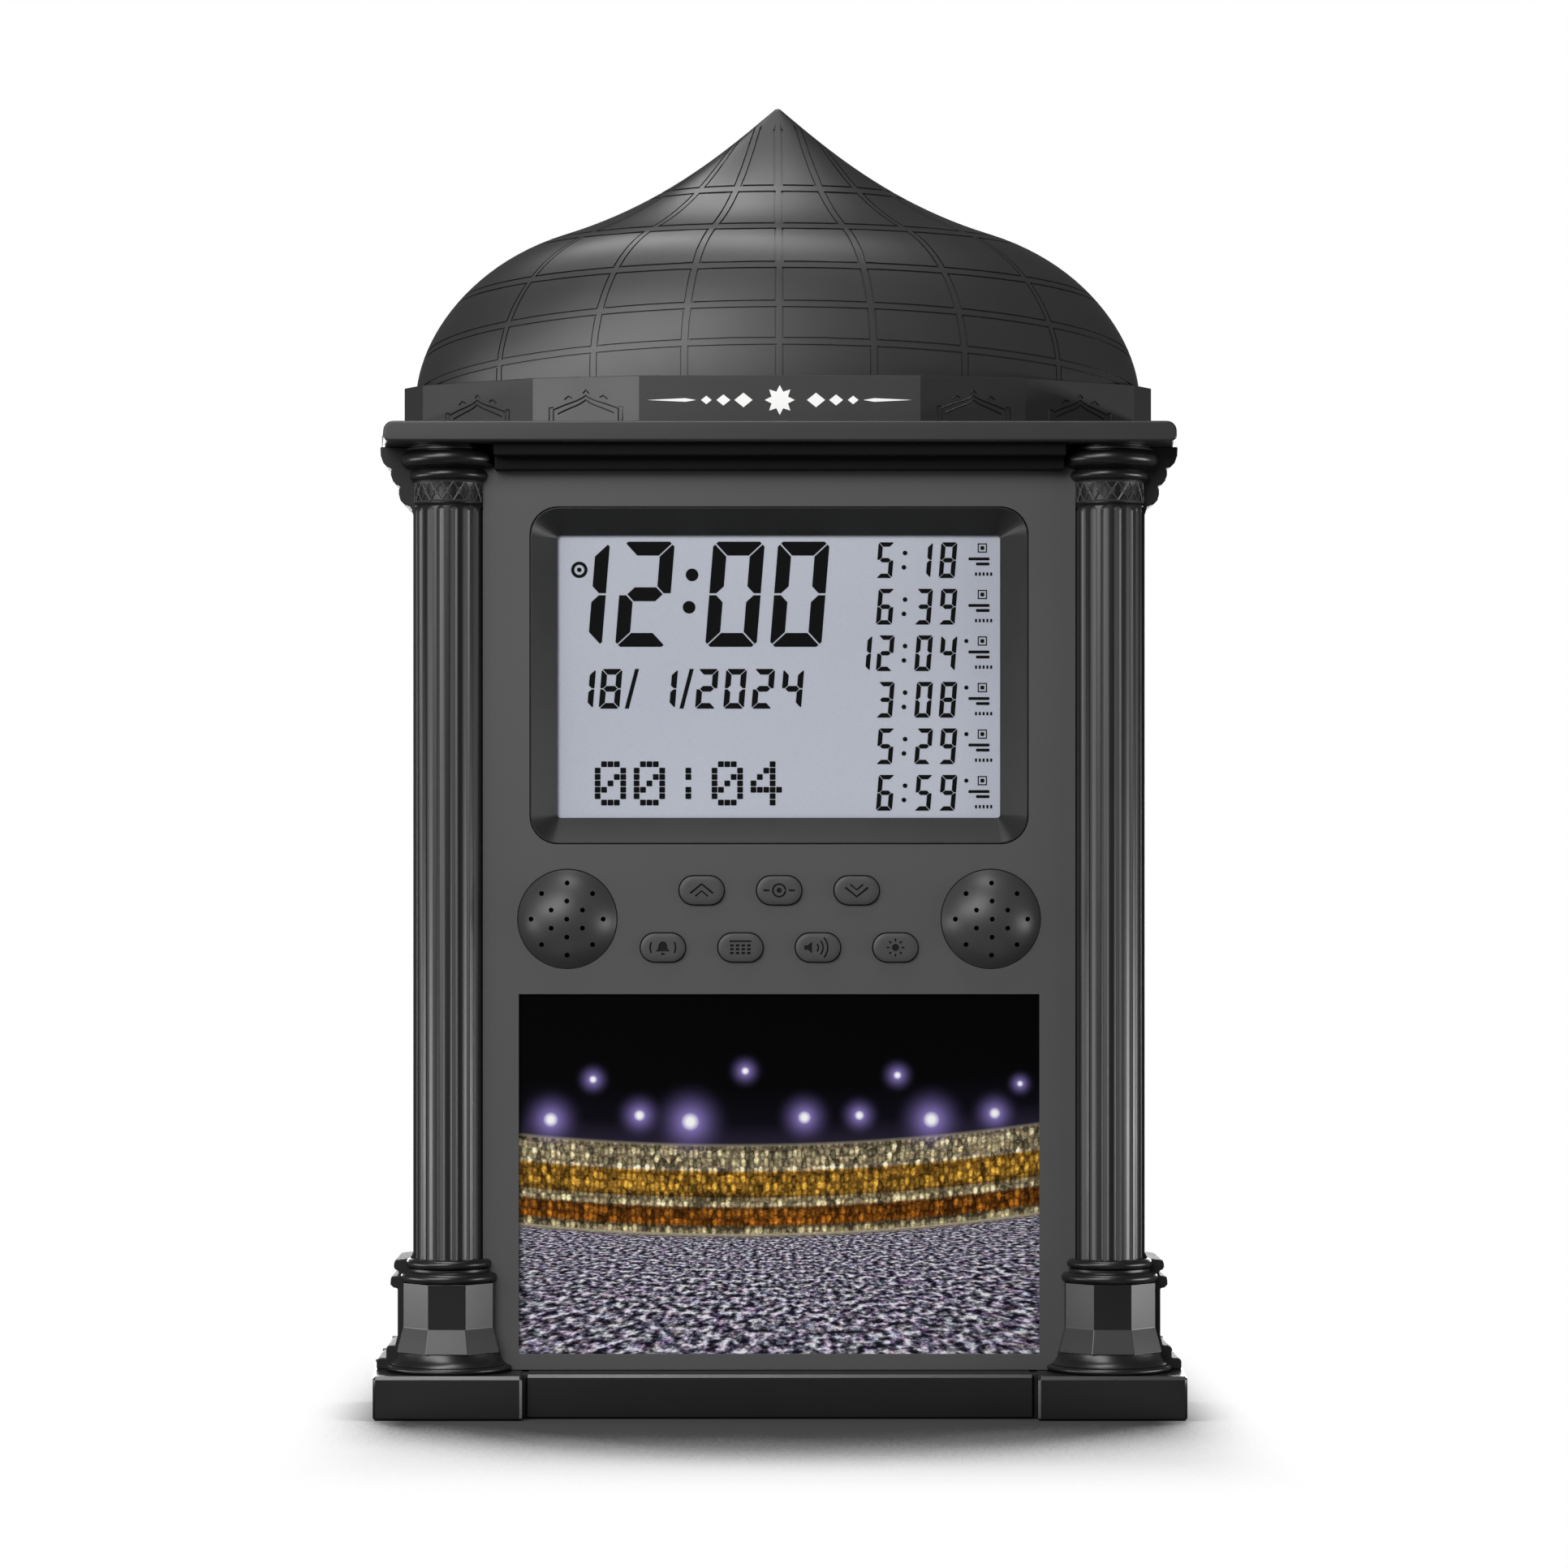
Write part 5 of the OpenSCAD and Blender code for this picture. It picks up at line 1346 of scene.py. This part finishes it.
# Dry cell: steel ends, and a printed sleeve in graphite with a copper band at one end
def makeCellJacket():
    material, tree, place = newMaterial("cellPrintedSleeve")
    c = cell
    split = addNode(tree, "SeparateXYZ", {"Vector": place}).node.outputs
    # the two cells lie head to tail, one above the other
    between = sum(c["rows"]) / 2 * mm
    upper = addNode(tree, "Math", {"operation": "GREATER_THAN", 0: split["Z"], 1: between})
    turn = addNode(tree, "MapRange", {"To Min": 1, "To Max": -1, "Value": upper})
    headwards = addNode(tree, "Math", {"operation": "MULTIPLY", 0: split["X"], 1: turn})
    start, end = c["start"] * mm, (c["start"] + c["length"]) * mm
    along = addNode(tree, "MapRange", {"From Min": start, "From Max": end, "Value": headwards})
    bands = paintRamp(addNode(tree, "ValToRGB", {"Fac": along}), c["print"])
    metalEnds = paintRamp(addNode(tree, "ValToRGB", {"Fac": along}), c["bare"])
    return closeMaterial(material, {"Base Color": bands, "Metallic": metalEnds, "Roughness": 0.28})


cellJacket = makeCellJacket()


def makeScrew(tip):
    s = screw
    top = s["seat"] + s["rise"]
    section = [(0, tip), (0.5, tip + 0.2), (s["shank"], tip + 1.6), (s["shank"], s["seat"]),
               (s["head"], s["seat"]), (s["head"], top - 1.1), (s["head"] - 0.25, top - 0.55),
               (s["head"] - 0.9, top - 0.15), (1, top), (0, top)]
    piece = spinLine("screw", [(r, y, 0) for r, y in section], 32, (0, 0, 0), (0, 1, 0))
    long, wide = s["slotLength"] / 2, s["slotWidth"] / 2
    for x, z in ((long, wide), (wide, long)):
        cutOut(piece, addBox("slot", (-x, top - s["slotDepth"], -z), (x, top + 0.5, z)))
    return piece


def makeCell():  # plus end towards +X, axis through the origin, rolled shoulders at both ends
    c = cell
    radius, inner, shoulder, cap, length = c["radius"], c["inner"], c["shoulder"], c["cap"], c["length"]
    section = [(0, 0), (inner - 0.6, 0), (inner, 0.35), (radius - 0.3, 0.1), (radius, 0.5),
               (radius, shoulder - 0.6), (radius - 0.35, shoulder - 0.05), (inner, shoulder - 0.3),
               (cap + 0.3, shoulder - 0.2), (cap, shoulder), (cap, length - 0.3),
               (cap - 0.3, length), (0, length)]
    return spinLine("cell", [(c["start"] + x, 0, r) for r, x in section], 48, (0, 0, 0), (1, 0, 0))


def onSpring(u, v):  # u counts turns from the plate, v is the row
    s = spring
    share = u / s["turns"]
    radius = s["footRadius"] + (s["tipRadius"] - s["footRadius"]) * share
    side = (1, -1)[v]
    turn = 2 * math.pi * u
    return (side * (s["start"] + s["wire"] + (s["length"] - 2 * s["wire"]) * share),
            cell["y"] + radius * math.cos(turn), cell["rows"][v] + radius * math.sin(turn))


firstScrew = makeScrew(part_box("cover_screws")[0].y / mm)
caseScrews = []
for x, z in screw["places"]:
    for side in (1, -1):
        caseScrews.append(movePiece(copyOf(firstScrew, "screw"), side * x, 0, z))
bpy.data.objects.remove(firstScrew)
finishPiece(joinPieces("case_screws", caseScrews), "case", zincSteel, ["cover_screws"])

lowerCell = makeCell()
upperCell = mirrorOf(lowerCell, "cell")
for piece, z in zip((lowerCell, upperCell), cell["rows"]):
    movePiece(piece, 0, cell["y"], z)
finishPiece(joinPieces("cells", [lowerCell, upperCell]), "case", cellJacket, ["battery_cells"])
coils = [[(k / 16, row) for k in range(int(spring["turns"] * 16) + 1)] for row in (0, 1)]
springs = makeRelief("cell_springs", coils, spring["wire"], onSpring)
finishPiece(springs, "case", springSteel, ["battery_springs"])
finishPiece(softCopy("battery_tray", "cell_bay", 0.25), "case", trayAbs, ["battery_tray"])
finishPiece(softCopy("rear_cover", "cover_back", 0.3), "case", blackAbs, ["rear_cover"])
doorBack = softCopy("battery_door", "door_back", 0.2)
finishPiece(doorBack, "battery_door", blackAbs, ["battery_door"])
print("back made")


# Light and floor

studio = {  # places and sizes in m, power in W
    "aim": (0, 0, 0.14),
    "lamps": {
        "key": ((-0.38, -1.15, 0.76), (0.6, 0.75), 10),
        "front": ((-0.78, -0.85, 0.44), (0.6, 0.35), 4.6),
        "top": ((-0.14, -0.13, 1.1), (0.7, 0.18), 5.4),
        "lowLeft": ((-0.7, -0.12, 0.03), (0.5, 0.07), 1.7),
        "lowRight": ((0.7, -0.15, 0.03), (0.5, 0.07), 2.6),
        "backLeft": ((-0.3, 1.1, 0.14), (0.6, 0.22), 4),
        "backRight": ((0.3, 1.1, 0.14), (0.6, 0.22), 4.5),
    },
    "glow": 0.12, "paper": 1.0,  # light from the room, and how white it looks
    "floorSize": 0.6, "fadeAcross": (0.086, 0.113), "fadeAlong": (0.085, 0.15),  # where the floor ends
    "shade": "#343434", "paint": "#f0f0f0", "shadeReach": 0.16, "shadeRange": (0.74, 0.90),  # share of open sky
}

for name, (place, size, power) in studio["lamps"].items():
    deselectAll()
    toward = Vector(studio["aim"]) - Vector(place)
    bpy.ops.object.light_add(type="AREA", location=place, rotation=toward.to_track_quat("-Z", "Y").to_euler())
    light = bpy.context.object
    light.name = "softbox_" + name
    light.data.shape = "RECTANGLE"
    light.data.size, light.data.size_y = size
    light.data.energy = power

world = bpy.data.worlds.new("whiteRoom")
bpy.context.scene.world = world
world.use_nodes = True
sky = world.node_tree
sky.nodes.clear()
glow = addNode(sky, "Background", {"Color": (1, 1, 1, 1), "Strength": studio["glow"]})
paper = addNode(sky, "Background", {"Color": (1, 1, 1, 1), "Strength": studio["paper"]})
seen = addNode(sky, "MixShader", {0: addNode(sky, "LightPath", {}, "Is Camera Ray"), 1: glow, 2: paper})
addNode(sky, "OutputWorld", {"Surface": seen})
bpy.context.scene.view_settings.view_transform = "Standard"


# Matt pale paint: a soft contact shade round the foot, and clear where the white room begins
def makeFloorPaint():
    material, tree, place = newMaterial("paintPaleMatt")
    s = studio
    hidden = addNode(tree, "AmbientOcclusion", {"Distance": s["shadeReach"], "samples": 16}, "AO")
    low, high = s["shadeRange"]
    openness = addNode(tree, "MapRange", {"interpolation_type": "SMOOTHSTEP", "Value": hidden,
                                          "From Min": low, "From Max": high})
    paint = addNode(tree, "Mix", {"data_type": "RGBA", 0: openness, 6: toLinear(s["shade"]),
                                  7: toLinear(s["paint"])}, 2)
    split = addNode(tree, "SeparateXYZ", {"Vector": place}).node.outputs
    fades = []
    for axis, (start, stop) in (("X", s["fadeAcross"]), ("Y", s["fadeAlong"])):
        away = addNode(tree, "Math", {"operation": "ABSOLUTE", 0: split[axis]})
        fades.append(addNode(tree, "MapRange", {"interpolation_type": "SMOOTHSTEP", "From Min": start,
                                                "From Max": stop, "To Min": 1, "To Max": 0, "Value": away}))
    cover = addNode(tree, "Math", {"operation": "MULTIPLY", 0: fades[0], 1: fades[1]})
    return closeMaterial(material, {"Base Color": paint, "Roughness": 0.9, "Alpha": cover})


deselectAll()
bpy.ops.mesh.primitive_plane_add(size=studio["floorSize"], location=(0, 0, cadLow.z))
floor = bpy.context.object
floor.name = "floor"
floor.data.materials.append(makeFloorPaint())
print("studio set")
